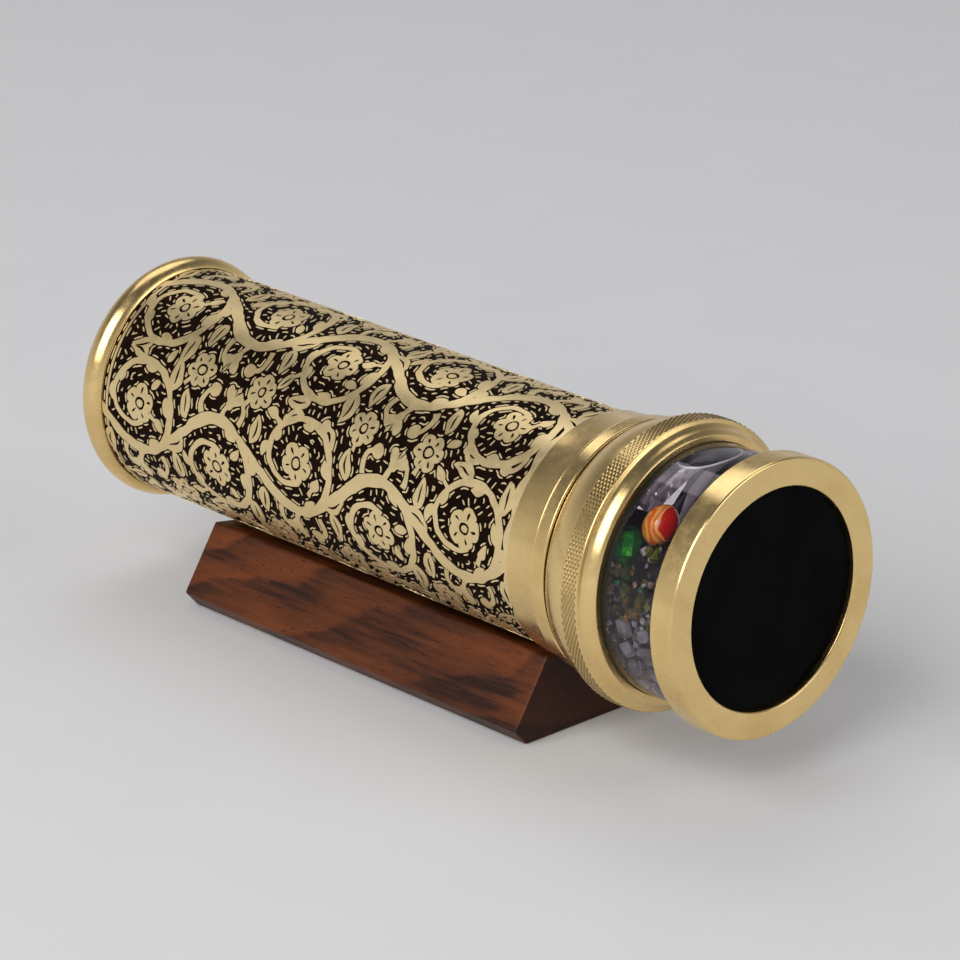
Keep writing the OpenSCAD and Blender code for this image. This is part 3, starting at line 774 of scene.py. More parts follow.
    def outer(self, top, side):
        """Two curls, a bud and two leaves on the outer side of the stem's bulge."""
        base = 0.0 if side > 0 else math.pi
        for way in (-1, 1):
            self.curl(top + (0.0, way * 0.22 * self.half_wave), base + way * side * 0.5, 7.6, 3.4,
                      -way * side * 2.0)
        bud = top + (side * 5.4, side * 2.7 + 0.4 * self.chance(-1, 1))
        self.ribbon(np.stack([top, (top + bud) / 2 + (0, 0.3), bud]), [1.8, 1.3, 1.1])
        self.bud(bud + (side * 0.7, side * 0.35), 3.1, base + 0.42)
        for way in (-1, 1):
            root = top + (-side * 2.6, way * 0.40 * self.half_wave)
            self.leaf(root, base + way * 0.35 * side, 6.8, 3.3, -way * 0.6 * side)

    def gaps(self):
        """Puts flowers, buds, leaves and berries on short stalks where the ground is widest."""
        grid = Grid(self, 0.3, 9.0)
        edge = np.minimum(grid.ys - self.front, self.back - 2.4 - grid.ys)
        distance = np.minimum(grid.distance, np.maximum(edge, 0.0)[:, None])
        slope_y, slope_x = np.gradient(distance)
        for _ in range(MOST_FLOWERS):
            row, column = np.unravel_index(np.argmax(distance), distance.shape)
            room = distance[row, column]
            if room < 2.55:
                break
            centre = np.array([grid.xs[column], grid.ys[row]])
            for reach in range(5):
                place = (row + reach) % grid.rows, (column + reach) % grid.columns
                away = np.array([slope_x[place], slope_y[place]])
                if np.linalg.norm(away) > 0.3 * grid.cell:
                    break
            direction = math.atan2(away[1], away[0]) if np.linalg.norm(away) > TINY else 1.0
            unit = heading(direction)
            size = min(room - 1.15, 4.4)
            if size > 1.6:
                stalk = [centre, centre - unit * room / 2, centre - unit * (room + 0.3)]
                self.ribbon(np.stack(stalk), [1.0, 0.9, 1.2])
            if size > 3.2:
                self.rosette(centre, size, 6, self.chance(0, 1))
            elif size > 2.3:
                self.bud(centre, size * 0.98, direction)
            elif size > 1.35:
                self.leaf(centre - unit * size, direction, 2.3 * size, 1.35 * size,
                          self.chance(-0.7, 0.7))
            else:
                self.disc(centre, size * 0.8, count=10)
            apart = grid.xs[None, :] - centre[0]
            apart -= self.round * np.round(apart / self.round)
            distance = np.minimum(distance, np.maximum(
                np.sqrt(apart ** 2 + (grid.ys[:, None] - centre[1]) ** 2) - size, 0.0))

    def borders(self):
        """The plain scalloped band by the collar, and the fine line by the eyepiece."""
        xs = np.linspace(-2.0, self.round + 2.0, 190)
        turn = 2 * math.pi * xs / self.round
        edge = self.front + 0.9 + 1.1 * np.abs(np.sin(turn * 8)) ** 1.5 + 0.5 * np.sin(turn * 3 + 1)
        low = np.full_like(xs, self.front - 0.6)
        scallops = np.concatenate([np.stack([xs, edge], 1), np.stack([xs, low], 1)[::-1]])
        ends, line = (-2.0, self.round + 2.0), self.back - 1.9
        corners = np.array([(ends[0], line), (ends[1], line), (ends[1], line + 0.7),
                            (ends[0], line + 0.7)])
        self.shapes.extend(((scallops, BRASS), (corners, BRASS)))


def within(outline, x, y):
    """Whether each place lies inside a closed outline, by counting its windings."""
    turns = np.zeros(np.shape(x), int)
    for (x0, y0), (x1, y1) in zip(outline, np.roll(outline, -1, 0)):
        side = (x1 - x0) * (y - y0) - (x - x0) * (y1 - y0)
        turns += (y0 <= y) & (y1 > y) & (side > 0)
        turns -= (y0 > y) & (y1 <= y) & (side < 0)
    return turns != 0


class Grid:
    """Distances from the brass, up to a reach, in small cells over the unrolled tube."""

    def __init__(self, drawing, cell, reach):
        self.cell, self.front = cell, drawing.front
        self.columns = int(round(drawing.round / cell))
        self.rows = int((drawing.back - drawing.front) / cell) + 1
        self.cell_x = drawing.round / self.columns
        self.xs = (np.arange(self.columns) + 0.5) * drawing.round / self.columns
        self.ys = drawing.front + (np.arange(self.rows) + 0.5) * cell
        self.distance = self.distance_from(self.brass_of(drawing.shapes), reach)

    def brass_of(self, shapes):
        """True where there is brass."""
        brass = np.zeros((self.rows, self.columns), bool)
        for outline, level in shapes:
            low, high = outline.min(0), outline.max(0)
            i = np.nonzero((self.xs >= low[0]) & (self.xs <= high[0]))[0]
            j = np.nonzero((self.ys >= low[1]) & (self.ys <= high[1]))[0]
            if level != HOLE and len(i) and len(j):
                brass[np.ix_(j, i)] |= within(outline, *np.meshgrid(self.xs[i], self.ys[j]))
        return brass

    def distance_from(self, brass, reach):
        far = reach * reach
        count = int(reach / self.cell) + 1
        flat = best = np.where(brass, 0.0, far)
        for shift in range(1, count + 1):
            near = np.minimum(np.roll(flat, shift, 1), np.roll(flat, -shift, 1))
            best = np.minimum(best, near + (shift * self.cell) ** 2)
        flat = np.pad(best, ((count, count), (0, 0)), constant_values=far)
        for shift in range(1, count + 1):
            near = np.minimum(flat[count - shift:][:self.rows], flat[count + shift:][:self.rows])
            best = np.minimum(best, near + (shift * self.cell) ** 2)
        return np.sqrt(np.minimum(best, far))

    def row_of(self, y):
        return int((y - self.front) / self.cell)

    def look(self, values, x, y):
        """Value at a place on the drawing."""
        return values[min(self.rows - 1, max(0, self.row_of(y))), int(x / self.cell_x) % self.columns]


def place_dashes(drawing):
    """Centre lines of fine dashes along the brass's edges, or across them, to fill the ground."""
    settings = drawing.settings
    grid = Grid(drawing, 0.2, 7.0)
    slope_y, slope_x = np.gradient(grid.distance)
    pitch, width = settings.tick_pitch / MM, settings.tick_width / MM
    taken = np.zeros_like(grid.distance, bool)
    room = 0.84 * pitch
    offsets = np.arange(-int(room / grid.cell), int(room / grid.cell) + 1)
    stamp_j, stamp_i = np.meshgrid(offsets, offsets, indexing="ij")
    close = (stamp_j ** 2 + stamp_i ** 2) * grid.cell * grid.cell <= room ** 2
    stamp_j, stamp_i = stamp_j[close], stamp_i[close]
    rng = np.random.default_rng(settings.seed + 1)
    lines = []

    def trace(x, y, level, sign, length, across):
        """Points of half a dash, from its middle outwards."""
        points = []
        for _ in range(int(length / TRACE_STEP)):
            gx, gy = grid.look(slope_x, x, y), grid.look(slope_y, x, y)
            size = math.hypot(gx, gy)
            if size < 0.3 * grid.cell:
                break
            gx, gy = gx / size, gy / size
            if across:
                x, y = x + gx * sign * TRACE_STEP, y + gy * sign * TRACE_STEP
            else:
                x, y = x - gy * sign * TRACE_STEP, y + gx * sign * TRACE_STEP
                off = max(-0.2, min(0.2, grid.look(grid.distance, x, y) - level))
                x, y = x - gx * off * 0.6, y - gy * off * 0.6
            if not drawing.front + 0.6 < y < drawing.back - 0.5 or grid.look(taken, x, y) \
                    or grid.look(grid.distance, x, y) < 0.36 + width / 2:
                break
            points.append((x, y))
        return points

    first = width / 2 + 0.42
    for level, across in [(first + 0.55, True)] + [(first + ring * pitch, False) for ring in range(7)]:
        found = np.argwhere((np.abs(grid.distance - level) < 0.16) & ~taken)
        for k in rng.permutation(len(found)):
            row, column = found[k]
            if taken[row, column]:
                continue
            x, y = (column + 0.5) * grid.cell_x, drawing.front + (row + 0.5) * grid.cell
            zone = math.sin(0.23 * x + 1.3) * math.sin(0.19 * y + 0.4) \
                + 0.6 * math.sin(0.41 * x - 0.33 * y)
            if across and zone < 0.42:
                continue
            half = rng.uniform(*((1.3, 1.9) if across else (1.5, 3.8))) / 2
            line = trace(x, y, level, -1, half, across)[::-1] + [(x, y)] \
                + trace(x, y, level, 1, half, across)
            if len(line) < 4:
                continue
            lines.append(np.array(line))
            for px, py in line:
                j = np.clip(grid.row_of(py) + stamp_j, 0, grid.rows - 1)
                taken[j, (int(px / grid.cell_x) + stamp_i) % grid.columns] = True
    return lines


def rolled(x, y, radius):
    """Point on the tube for a place on the drawing, in metres."""
    return around(radius, x * MM / TUBE_R, FRONT_X - y * MM)


def thicken(bm, depth):
    """Gives rolled outlines their thickness, towards the tube's axis."""
    bmesh.ops.remove_doubles(bm, verts=bm.verts, dist=TINY)
    made = bmesh.ops.extrude_face_region(bm, geom=bm.faces[:], use_keep_orig=True)["geom"]
    for vert in (item for item in made if isinstance(item, bmesh.types.BMVert)):
        share = 1 - depth / radius_of(vert.co)
        vert.co = (vert.co.x, vert.co.y * share, AXIS_Z + (vert.co.z - AXIS_Z) * share)
    bmesh.ops.recalc_face_normals(bm, faces=bm.faces)


def vine_relief(drawing):
    """Union of the drawing's shapes, cut into columns so that it bends round the tube."""
    points, edges = [], []
    for outline, _ in drawing.shapes:
        start, count = len(points), len(outline)
        points.extend(Vector(p) for p in outline)
        edges.extend((start + k, start + (k + 1) % count) for k in range(count))
    for k in range(RELIEF_COLUMNS + 1):
        x = drawing.round * k / RELIEF_COLUMNS
        edges.append((len(points), len(points) + 1))
        points.extend((Vector((x, drawing.front - 3)), Vector((x, drawing.back + 3))))
    found, _, tiles, _, _, _ = delaunay_2d_cdt(points, edges, [], 0, 1e-5, False)
    places = np.array([[p[0], p[1]] for p in found])
    centres = places[np.array(tiles)].mean(1)
    levels = np.zeros(len(tiles), int)
    for wanted in (BRASS, HOLE, INLAY):
        for outline in (outline for outline, level in drawing.shapes if level == wanted):
            low, high = outline.min(0), outline.max(0)
            near = np.nonzero(((centres > low) & (centres < high)).all(1))[0]
            levels[near[within(outline, *centres[near].T)]] = wanted
    bm = bmesh.new()
    made = {}
    for tile, centre, level in zip(tiles, centres, levels):
        if level <= 0 or not 0 < centre[0] < drawing.round:
            continue
        for i in tile:
            if i not in made:
                y = min(max(places[i][1], drawing.front - 0.6), drawing.back - 0.05)
                made[i] = bm.verts.new(rolled(places[i][0], y, TUBE_R))
        bm.faces.new([made[i] for i in tile])
    thicken(bm, drawing.settings.depth + 0.02 * MM)
    return bm


def dash_relief(lines, settings):
    """A thin dash with round ends along each centre line."""
    bm = bmesh.new()
    width = settings.tick_width / MM
    for line in lines:
        count = max(3, min(5, len(line) // 2))
        share = np.linspace(0, len(line) - 1, count)
        path = np.stack([np.interp(share, np.arange(len(line)), line[:, k]) for k in (0, 1)], 1)
        step, left = steps_and_lefts(path, 1e-9)
        taper = np.ones((count, 1))
        taper[0] = taper[-1] = 0.8
        side = left * width / 2 * taper
        tip = width * 0.42
        outline = np.concatenate([path + side, [path[-1] + step[-1] * tip], (path - side)[::-1],
                                  [path[0] - step[0] * tip]])
        bm.faces.new([bm.verts.new(rolled(x, y, TUBE_R - 0.01 * MM)) for x, y in outline])
    thicken(bm, settings.depth)
    return bm


# operators

CAMERA_PLACE = (0.6938, -0.6483, 0.4029)
CAMERA_AIM = (-0.679256, 0.64189, -0.35580)
LAMPS_AIM = Vector((0.03, 0.0, 0.04))
LAMPS = (("key", (0.15, -1.25, 1.05), (1.5, 1.1)), ("fill", (1.35, 0.55, 0.75), (1.0, 0.9)),
         ("top", (-0.55, 0.45, 1.35), (1.2, 1.0)))
SKY = ((0.0, (0.66, 0.66, 0.67)), (0.2, (0.46, 0.46, 0.47)), (0.6, (0.16, 0.16, 0.17)),
       (1.0, (0.10, 0.10, 0.11)))
# Ends of the knurled band behind the turning ring's front, and the plain margin at each end.
KNURL_BAND = (2.9 * MM, 7.5 * MM)
KNURL_MARGIN = 0.3 * MM
BUBBLE_STATION = 20.2 * MM
BUBBLE_TURN = math.pi / 2 + math.radians(-4)
BUBBLE_GAP = 0.35 * MM
SPLINTER_GAP = 0.3 * MM
MOST_TRIES = 30000
LOOSE = ("green_bead", "striped_bead", "clear_rods", "glass_twists", "seed_beads", "glass_chips")
# Kinds of splinter, with their range of sizes in millimetres and of angles round the axis.
SPLINTERS = (("shards", (1.7, 2.6), (0.0, 2 * math.pi)), ("glints", (0.7, 1.3), (2.55, 3.45)),
             ("chips", (1.0, 1.6), (3.05, 4.4)))
# Tones of the splinters: colour, specular and metallic.
TONES = (("smoky_shard", (0.016, 0.012, 0.017), 0.35, 0.0),
         ("amber_shard", (0.20, 0.10, 0.015), 0.5, 0.0),
         ("emerald_shard", (0.008, 0.13, 0.06), 0.5, 0.0),
         ("olive_shard", (0.11, 0.115, 0.012), 0.5, 0.0),
         ("gold_leaf", (0.85, 0.55, 0.20), 0.5, 1.0),
         ("clear_shard", (0.32, 0.29, 0.32), 0.9, 0.0),
         ("pale_chip", (0.21, 0.19, 0.215), 0.6, 0.0))


def aim(thing, place, forward):
    """Puts a lamp or a camera at a place, looking forward."""
    thing.location = place
    thing.rotation_euler = Vector(forward).to_track_quat("-Z", "Y").to_euler()


def ornament_ends():
    """Stations between which the tube is etched."""
    return node_stations("tube_collar")[1] + 0.3 * MM, node_stations("eyepiece_cap")[1] - 6.4 * MM


def knurl_ends():
    """Stations between which the turning ring is knurled."""
    front = node_stations("turning_ring")[0]
    return front + KNURL_BAND[0] + KNURL_MARGIN, front + KNURL_BAND[1] - KNURL_MARGIN


def splinter_tone(kind, pick):
    """Index of a splinter's tone: chips are pale, glints coloured, and most shards smoky."""
    if kind == "chips":
        return 6
    if kind == "glints":
        return 1 + int(pick * 4.99)
    return 0 if pick < 0.86 else 1 + int((pick - 0.86) / 0.14 * 3.99)


class KaleidoscopeOperator:
    bl_options = {"REGISTER", "UNDO"}


class KALEIDOSCOPE_OT_stage(KaleidoscopeOperator, bpy.types.Operator):
    """Sets up the floor, the soft lamps and the camera"""
    bl_idname = "kaleidoscope.stage"
    bl_label = "Studio"

    def execute(self, context):
        scene, stage = context.scene, context.scene.stage
        scene.view_settings.view_transform = "Standard"
        bm = bmesh.new()
        bmesh.ops.create_grid(bm, x_segments=1, y_segments=1, size=6.0)
        mesh = bpy.data.meshes.new("floor")
        bm.to_mesh(mesh)
        bm.free()
        colour = tuple(stage.floor_colour)
        n = new_material("pale_floor")
        paper = n.remap(n.noise(n.place(), 40.0, 3.0, 0.5), 0.3, 0.7)
        shade = n.mix(paper, colour, tuple(c * 0.985 for c in colour))
        mesh.materials.append(n.finish(n.principled(shade, 0.85, 0.1)))
        link("floor", mesh)
        scene.world = bpy.data.worlds.new("studio")
        scene.world.use_nodes = True
        sky = Nodes(scene.world)
        up = sky.add("SeparateXYZ", {0: sky.add("TexCoord")["Generated"]})[2]
        sky.put(sky.tree.nodes["Background"].inputs["Color"], sky.ramp(up, SKY))
        for name, place, size in LAMPS:
            lamp = bpy.data.lights.new(name, "AREA")
            lamp.shape = "RECTANGLE"
            lamp.size, lamp.size_y = size
            lamp.energy = getattr(stage, name + "_power")
            aim(link(name, lamp), place, LAMPS_AIM - Vector(place))
        view = bpy.data.cameras.new("camera")
        view.lens = stage.lens
        view.sensor_width = 36.0
        view.sensor_fit = "HORIZONTAL"
        view.clip_start, view.clip_end = 0.05, 20.0
        scene.camera = link("camera", view)
        aim(scene.camera, CAMERA_PLACE, CAMERA_AIM)
        return {"FINISHED"}


class KALEIDOSCOPE_OT_cradle(KaleidoscopeOperator, bpy.types.Operator):
    """Makes the rosewood cradle with broken edges"""
    bl_idname = "kaleidoscope.cradle"
    bl_label = "Cradle"

    def execute(self, context):
        cradle = context.scene.cradle
        bm = bmesh.new()
        bm.from_mesh(NODES["stand_block"].data)
        bmesh.ops.remove_doubles(bm, verts=bm.verts, dist=TINY)
        bmesh.ops.dissolve_limit(bm, angle_limit=math.radians(1), verts=bm.verts, edges=bm.edges)
        bevel(bm, [e for e in bm.edges if e.calc_face_angle(0) > math.radians(5)], cradle.edge,
              "EDGES")
        bmesh.ops.recalc_face_normals(bm, faces=bm.faces)
        piece = to_object(bm, "cradle", "stand", [wood_material(cradle)],
                          ("stand_block",), sharp=40.0)
        even_shading(piece)
        return {"FINISHED"}


class KALEIDOSCOPE_OT_tube(KaleidoscopeOperator, bpy.types.Operator):
    """Makes the brass tube with its etched and darkened ground"""
    bl_idname = "kaleidoscope.tube"
    bl_label = "Tube"

    def execute(self, context):
        ornament = context.scene.ornament
        front, back = ornament_ends()

        def sink(bm):
            slope = 0.1 * MM
            cut_profile(bm, (front, front + slope, back - slope, back))
            lower_band(bm, front + slope / 2, back - slope / 2, TUBE_R - 0.1 * MM, ornament.depth)

        brass = brass_material("tube_brass", context.scene.brass)
        ground = ground_material(ornament.ground)
        piece = turned_piece(context, "body_tube", "etched_tube", "scope",
                             [brass, ground], shape=sink, edge=0.02 * MM)
        paint_faces(piece, lambda station, radius: int(front < station < back
                                                       and radius > TUBE_R - 0.3 * MM))
        return {"FINISHED"}


class KALEIDOSCOPE_OT_ornament(KaleidoscopeOperator, bpy.types.Operator):
    """Makes the raised brass vines and the fine dashes between them"""
    bl_idname = "kaleidoscope.ornament"
    bl_label = "Ornament"

    def execute(self, context):
        ornament = context.scene.ornament
        drawing = Drawing(ornament, *(station / MM for station in ornament_ends()))
        drawing.vines()
        drawing.borders()
        drawing.gaps()
        brass = brass_material("ornament_brass", context.scene.brass, 0.5, 0.45, satin=0.15,
                               colour=ornament.brass)
        bright = plain_material("dash_brass", (0.78, 0.62, 0.34), 0.36, 0.5, 1800.0, 0.002, 0.05, 0.6)
        to_object(vine_relief(drawing), "brass_vines", "scope", [brass], sharp=35.0)
        to_object(dash_relief(place_dashes(drawing), ornament), "brass_dashes", "scope",
                  [bright], sharp=35.0)
        return {"FINISHED"}


class KALEIDOSCOPE_OT_fittings(KaleidoscopeOperator, bpy.types.Operator):
    """Turns the collar, the bezel, the eyepiece and the retaining ring"""
    bl_idname = "kaleidoscope.fittings"
    bl_label = "Turned fittings"

    def execute(self, context):
        brass = brass_material("turned_brass", context.scene.brass)
        for node, name, body in (("tube_collar", "collar", "scope"),
                                 ("eyepiece_cap", "eyepiece", "scope"),
                                 ("retaining_ring", "retainer_flange", "scope"),
                                 ("front_bezel", "bezel", "object_cell")):
            turned_piece(context, node, name, body, [brass])
        return {"FINISHED"}


class KALEIDOSCOPE_OT_turning_ring(KaleidoscopeOperator, bpy.types.Operator):
    """Turns the ring that the hand holds, with a sunk band for its knurl"""
    bl_idname = "kaleidoscope.turning_ring"
    bl_label = "Turning ring"

    def execute(self, context):
        settings = context.scene.brass
        start, end = knurl_ends()

        def sink(bm):
            cut_profile(bm, (start, end))
            lower_band(bm, start - TINY, end + TINY, KNURL_R - 0.05 * MM, settings.knurl_depth * 0.8)

        turned_piece(context, "turning_ring", "turning_ring_body", "object_cell",
                     [brass_material("ring_brass", settings)], shape=sink)
        return {"FINISHED"}


class KALEIDOSCOPE_OT_knurl(KaleidoscopeOperator, bpy.types.Operator):
    """Makes the diamond knurl of the turning ring"""
    bl_idname = "kaleidoscope.knurl"
    bl_label = "Knurl"

    def execute(self, context):
        settings = context.scene.brass
        start, end = knurl_ends()
        overlap = 0.15 * MM
        length = end - start + 2 * overlap
        columns = 2 * int(round(math.pi * KNURL_R / settings.knurl_pitch))
        rows = int(round(length / (settings.knurl_pitch / 2)))
        bm = bmesh.new()
        bmesh.ops.create_grid(bm, x_segments=columns, y_segments=rows, size=0.5)
        for vert in bm.verts:
            column, row = round((vert.co.x + 0.5) * columns), round((vert.co.y + 0.5) * rows)
            low = (column + row) % 2 or row in (0, rows)
            radius = KNURL_R - (settings.knurl_depth if low else 0.0) - 0.01 * MM
            station = start - overlap + length * row / rows
            vert.co = around(radius, 2 * math.pi * column / columns, FRONT_X - station)
        bmesh.ops.remove_doubles(bm, verts=bm.verts, dist=TINIER)
        bmesh.ops.triangulate(bm, faces=bm.faces[:], quad_method="SHORT_EDGE")
        bmesh.ops.recalc_face_normals(bm, faces=bm.faces)
        bmesh.ops.solidify(bm, geom=bm.faces[:], thickness=0.25 * MM)
        bmesh.ops.recalc_face_normals(bm, faces=bm.faces)
        # Painted shade: the knurl's brass is a darker copy of the ring's brass, at 0.64 of its colour,
        # with painted shade in its grooves.
        material = brass_material("knurl_brass", settings, 0.3, 0.9,
                                  (KNURL_R - settings.knurl_depth, KNURL_R - 0.04 * MM),
                                  satin=0.12, colour=tuple(0.64 * c for c in settings.colour))
        to_object(bm, "knurl", "object_cell", [material], smooth=False)
        return {"FINISHED"}


class KALEIDOSCOPE_OT_cell(KaleidoscopeOperator, bpy.types.Operator):
    """Makes the clear cell wall, its windows, seals and black end disc"""
    bl_idname = "kaleidoscope.cell"
    bl_label = "Object cell"

    def execute(self, context):
        cell = context.scene.cell
        outer = clear_material("wall_glass", cell.glass_ior, (0.965, 0.93, 0.96))
        inner = open_material("oil_face")
        glue_and_painted_shade = plain_material("black_adhesive", (0.006, 0.006, 0.006), 0.35)
        bond = plain_material("milky_bond", (0.86, 0.80, 0.87), 0.5, 0.3, 500.0, 0.01, 0.06)
        lip = node_stations("turning_ring")[0]
        clear_start = node_stations("front_bezel")[1] - 0.4 * MM
        # Painted shade: the black band reaches 1.2 mm out from under the turning ring's lip and stands
        # in for the lip's shadow there; under the lip and the bezel it is a black glue line.
        clear_end, bond_start = lip - 1.2 * MM, lip + 0.3 * MM
        middle = sum(node_stations("rear_window")) / 2

        def wall_slot(station, radius):
            if radius < CELL_R - 0.2 * MM:
                return 1
            if station > bond_start:
                return 3
            return 0 if clear_start < station < clear_end else 2

        def window_slot(station, radius):
            if radius > CELL_R - 0.1 * MM:
                return 2
            return int(station < middle)

        wall = turned_piece(context, "cell_wall", "clear_wall", "object_cell",
                            [outer, inner, glue_and_painted_shade, bond], edge=0.15 * MM,
                            shape=lambda bm: cut_profile(bm, (clear_start, clear_end, bond_start)))
        paint_faces(wall, wall_slot)
        window = turned_piece(context, "rear_window", "cell_window", "object_cell",
                              [outer, inner, bond], edge=0.05 * MM)
        paint_faces(window, window_slot)
        black = plain_material("black_disc", (0.0008, 0.0008, 0.001), 0.22, 0.02, 1500.0, 0.001, 0.0)
        turned_piece(context, "end_disc", "black_end_disc", "object_cell", [black])
        dress(("rear_seal", "front_seal"), plain_material("gasket_rubber", (0.012,) * 3, 0.6))
        dress(("fill_plug",), plain_material("plug_nylon", (0.70, 0.68, 0.62), 0.45))
        return {"FINISHED"}


class KALEIDOSCOPE_OT_bubble(KaleidoscopeOperator, bpy.types.Operator):
    """Makes the flat air bubble at the top of the oil"""
    bl_idname = "kaleidoscope.bubble"
    bl_label = "Air bubble"

    def execute(self, context):
        cell = context.scene.cell
        bm = bmesh.new()
        bmesh.ops.create_uvsphere(bm, u_segments=64, v_segments=32, radius=1.0)
        middle = FRONT_X - BUBBLE_STATION
        for vert in bm.verts:
            along, across, up = vert.co
            angle = BUBBLE_TURN + across * cell.bubble_width / 2 / CHAMBER_R
            radius = CHAMBER_R - BUBBLE_GAP - cell.bubble_height * ((1.0 - up) / 2)
            vert.co = around(radius, angle, middle + along * cell.bubble_length / 2)
        bmesh.ops.recalc_face_normals(bm, faces=bm.faces)
        to_object(bm, "air_bubble", "charge",
                  [bubble_material(cell, middle, BUBBLE_TURN)], sharp=180.0)
        return {"FINISHED"}


class KALEIDOSCOPE_OT_loose_pieces(KaleidoscopeOperator, bpy.types.Operator):
    """Colours the glass pieces that float in the oil"""
    bl_idname = "kaleidoscope.loose_pieces"
    bl_label = "Loose pieces"

    def execute(self, context):
        low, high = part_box("striped_bead")
        looks = (bead_material(), striped_material(tuple((low + high) / 2), (high.z - low.z) / 2),
                 rod_material(),
                 tinted_glass("twist_glass", (0.30, 0.19, 0.02), (0.03, 0.10, 0.02), 1.3, 0.05, 0.55,
                              150.0),
                 tinted_glass("seed_glass", (0.01, 0.15, 0.08), (0.02, 0.26, 0.18), 1.3, 0.05, 0.5),
                 tinted_glass("chip_glass", (0.72, 0.68, 0.74), (0.26, 0.23, 0.27), 1.12, 0.04, 0.36,
                              260.0))
        for node, material in zip(LOOSE, looks):
            dress((node,), material)
        return {"FINISHED"}


class KALEIDOSCOPE_OT_shards(KaleidoscopeOperator, bpy.types.Operator):
    """Fills the lower part of the oil with dark shards, and with splinters by the wall"""
    bl_idname = "kaleidoscope.shards"
    bl_label = "Shards"

    def execute(self, context):
        cell = context.scene.cell
        rng = np.random.default_rng(cell.seed)
        bm = bmesh.new()
        for node in LOOSE:
            bm.from_mesh(NODES[node].data)
        pieces = BVHTree.FromBMesh(bm)
        bm.free()
        bm = bmesh.new()
        front, back = node_stations("cell_wall")[0], node_stations("rear_seal")[0]
        taken = []

        def is_free(place, size):
            """Whether a place lies in the heap, clear of the beads and of other splinters."""
            if place.z - AXIS_Z > 2.5 * MM - 0.55 * place.y or place.y > 11 * MM:
                return False
            if pieces.find_nearest(place, size * 0.75)[0] is not None:
                return False
            return all((place - other).length >= 0.62 * (size + reach) for other, reach in taken)

        for kind, sizes, angles in SPLINTERS:
            wanted = len(taken) + getattr(cell, kind)
            for _ in range(MOST_TRIES):
                if len(taken) == wanted:
                    break
                size = float(rng.uniform(*sizes)) * MM
                station = float(rng.uniform(front + size, back - size))
                angle = float(rng.uniform(*angles))
                radius = (CHAMBER_R - SPLINTER_GAP - size) * float(
                    math.sqrt(rng.random()) if kind == "shards" else rng.uniform(0.82, 1.0))
                place = around(radius, angle, FRONT_X - station)
                if not is_free(place, size):
                    continue
                taken.append((place, size))
                stretch = Matrix.Diagonal((*rng.uniform(0.55, 1.0, 3), 1.0))
                turn = Vector(rng.normal(size=3)).to_track_quat("Z", "Y").to_matrix().to_4x4()
                made = bmesh.ops.create_cone(
                    bm, cap_ends=True, cap_tris=False, segments=int(rng.integers(3, 6)),
                    radius1=size, radius2=size * float(rng.uniform(0.25, 0.8)), depth=size * 1.5,
                    matrix=Matrix.Translation(place) @ turn @ stretch)["verts"]
                tone = splinter_tone(kind, float(rng.random()))
                for face in {face for vert in made for face in vert.link_faces}:
                    face.material_index = tone
        to_object(bm, "glass_shards", "charge",
                  [shard_material(*tone) for tone in TONES], smooth=False)
        return {"FINISHED"}


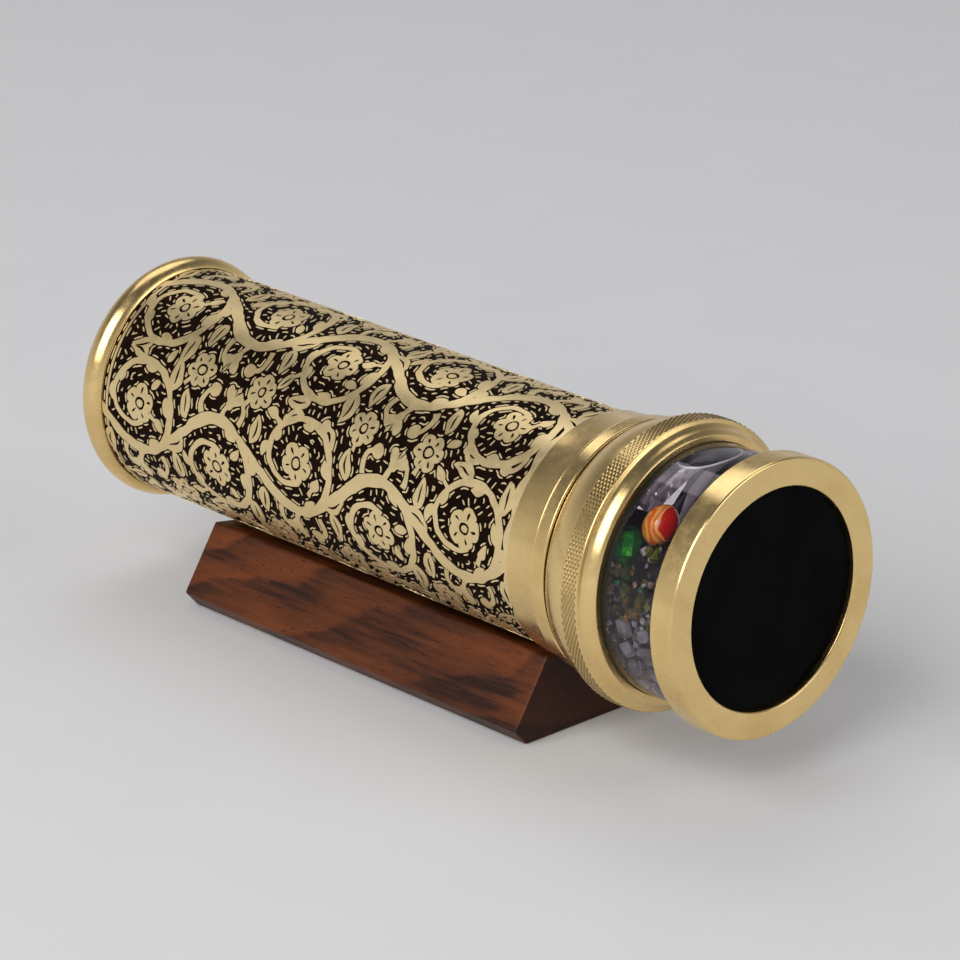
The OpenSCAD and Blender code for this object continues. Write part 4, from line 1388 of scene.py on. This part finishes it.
class KALEIDOSCOPE_OT_optics(KaleidoscopeOperator, bpy.types.Operator):
    """Finishes the mirrors, their wrap and rings, the lens and the inner windows"""
    bl_idname = "kaleidoscope.optics"
    bl_label = "Mirrors and lens"

    def execute(self, context):
        dress(("mirror_left", "mirror_right", "mirror_base"), mirror_material())
        dress(("mirror_wrap",), plain_material("black_card", (0.016,) * 3, 0.75, 0.2, 1400.0))
        dress(("mirror_ring_front", "mirror_ring_rear"),
              plain_material("black_foam", (0.02,) * 3, 0.85, 0.15, 1800.0, 0.05))
        dress(("thrust_washer", "window_clip", "lens_retainer"),
              plain_material("black_plastic", (0.014,) * 3, 0.45))
        glass = clear_material("lens_glass", 1.52, (0.97, 0.99, 0.985))
        for node, name in (("eye_lens", "lens"), ("tube_window", "dust_window")):
            turned_piece(context, node, name, "scope", [glass], edge=0.05 * MM)
        return {"FINISHED"}


STEPS = (KALEIDOSCOPE_OT_stage, KALEIDOSCOPE_OT_cradle, KALEIDOSCOPE_OT_tube,
         KALEIDOSCOPE_OT_ornament, KALEIDOSCOPE_OT_fittings, KALEIDOSCOPE_OT_turning_ring,
         KALEIDOSCOPE_OT_knurl, KALEIDOSCOPE_OT_cell, KALEIDOSCOPE_OT_bubble,
         KALEIDOSCOPE_OT_loose_pieces, KALEIDOSCOPE_OT_shards, KALEIDOSCOPE_OT_optics)
GROUPS = (("stage", StageSettings), ("brass", BrassSettings), ("ornament", OrnamentSettings),
          ("cell", CellSettings), ("cradle", CradleSettings))


class KALEIDOSCOPE_PT_panel(bpy.types.Panel):
    """Sizes, colours and steps of the kaleidoscope"""
    bl_idname = "KALEIDOSCOPE_PT_panel"
    bl_label = "Oil kaleidoscope"
    bl_space_type = "VIEW_3D"
    bl_region_type = "UI"
    bl_category = "Kaleidoscope"

    def draw(self, context):
        for name, group in GROUPS:
            box = self.layout.box()
            box.label(text=name.capitalize())
            for key in group.__annotations__:
                box.prop(getattr(context.scene, name), key)
        for step in STEPS:
            self.layout.operator(step.bl_idname)


def register():
    for name, group in GROUPS:
        bpy.utils.register_class(group)
        setattr(bpy.types.Scene, name, bpy.props.PointerProperty(type=group))
    for item in (*STEPS, KALEIDOSCOPE_PT_panel):
        bpy.utils.register_class(item)


def unregister():
    for item in (KALEIDOSCOPE_PT_panel, *reversed(STEPS)):
        bpy.utils.unregister_class(item)
    for name, group in reversed(GROUPS):
        delattr(bpy.types.Scene, name)
        bpy.utils.unregister_class(group)


def main():
    register()
    for step in STEPS:
        getattr(bpy.ops.kaleidoscope, step.bl_idname.split(".")[1])()
    bpy.context.view_layer.update()


if __name__ == "__main__":
    main()
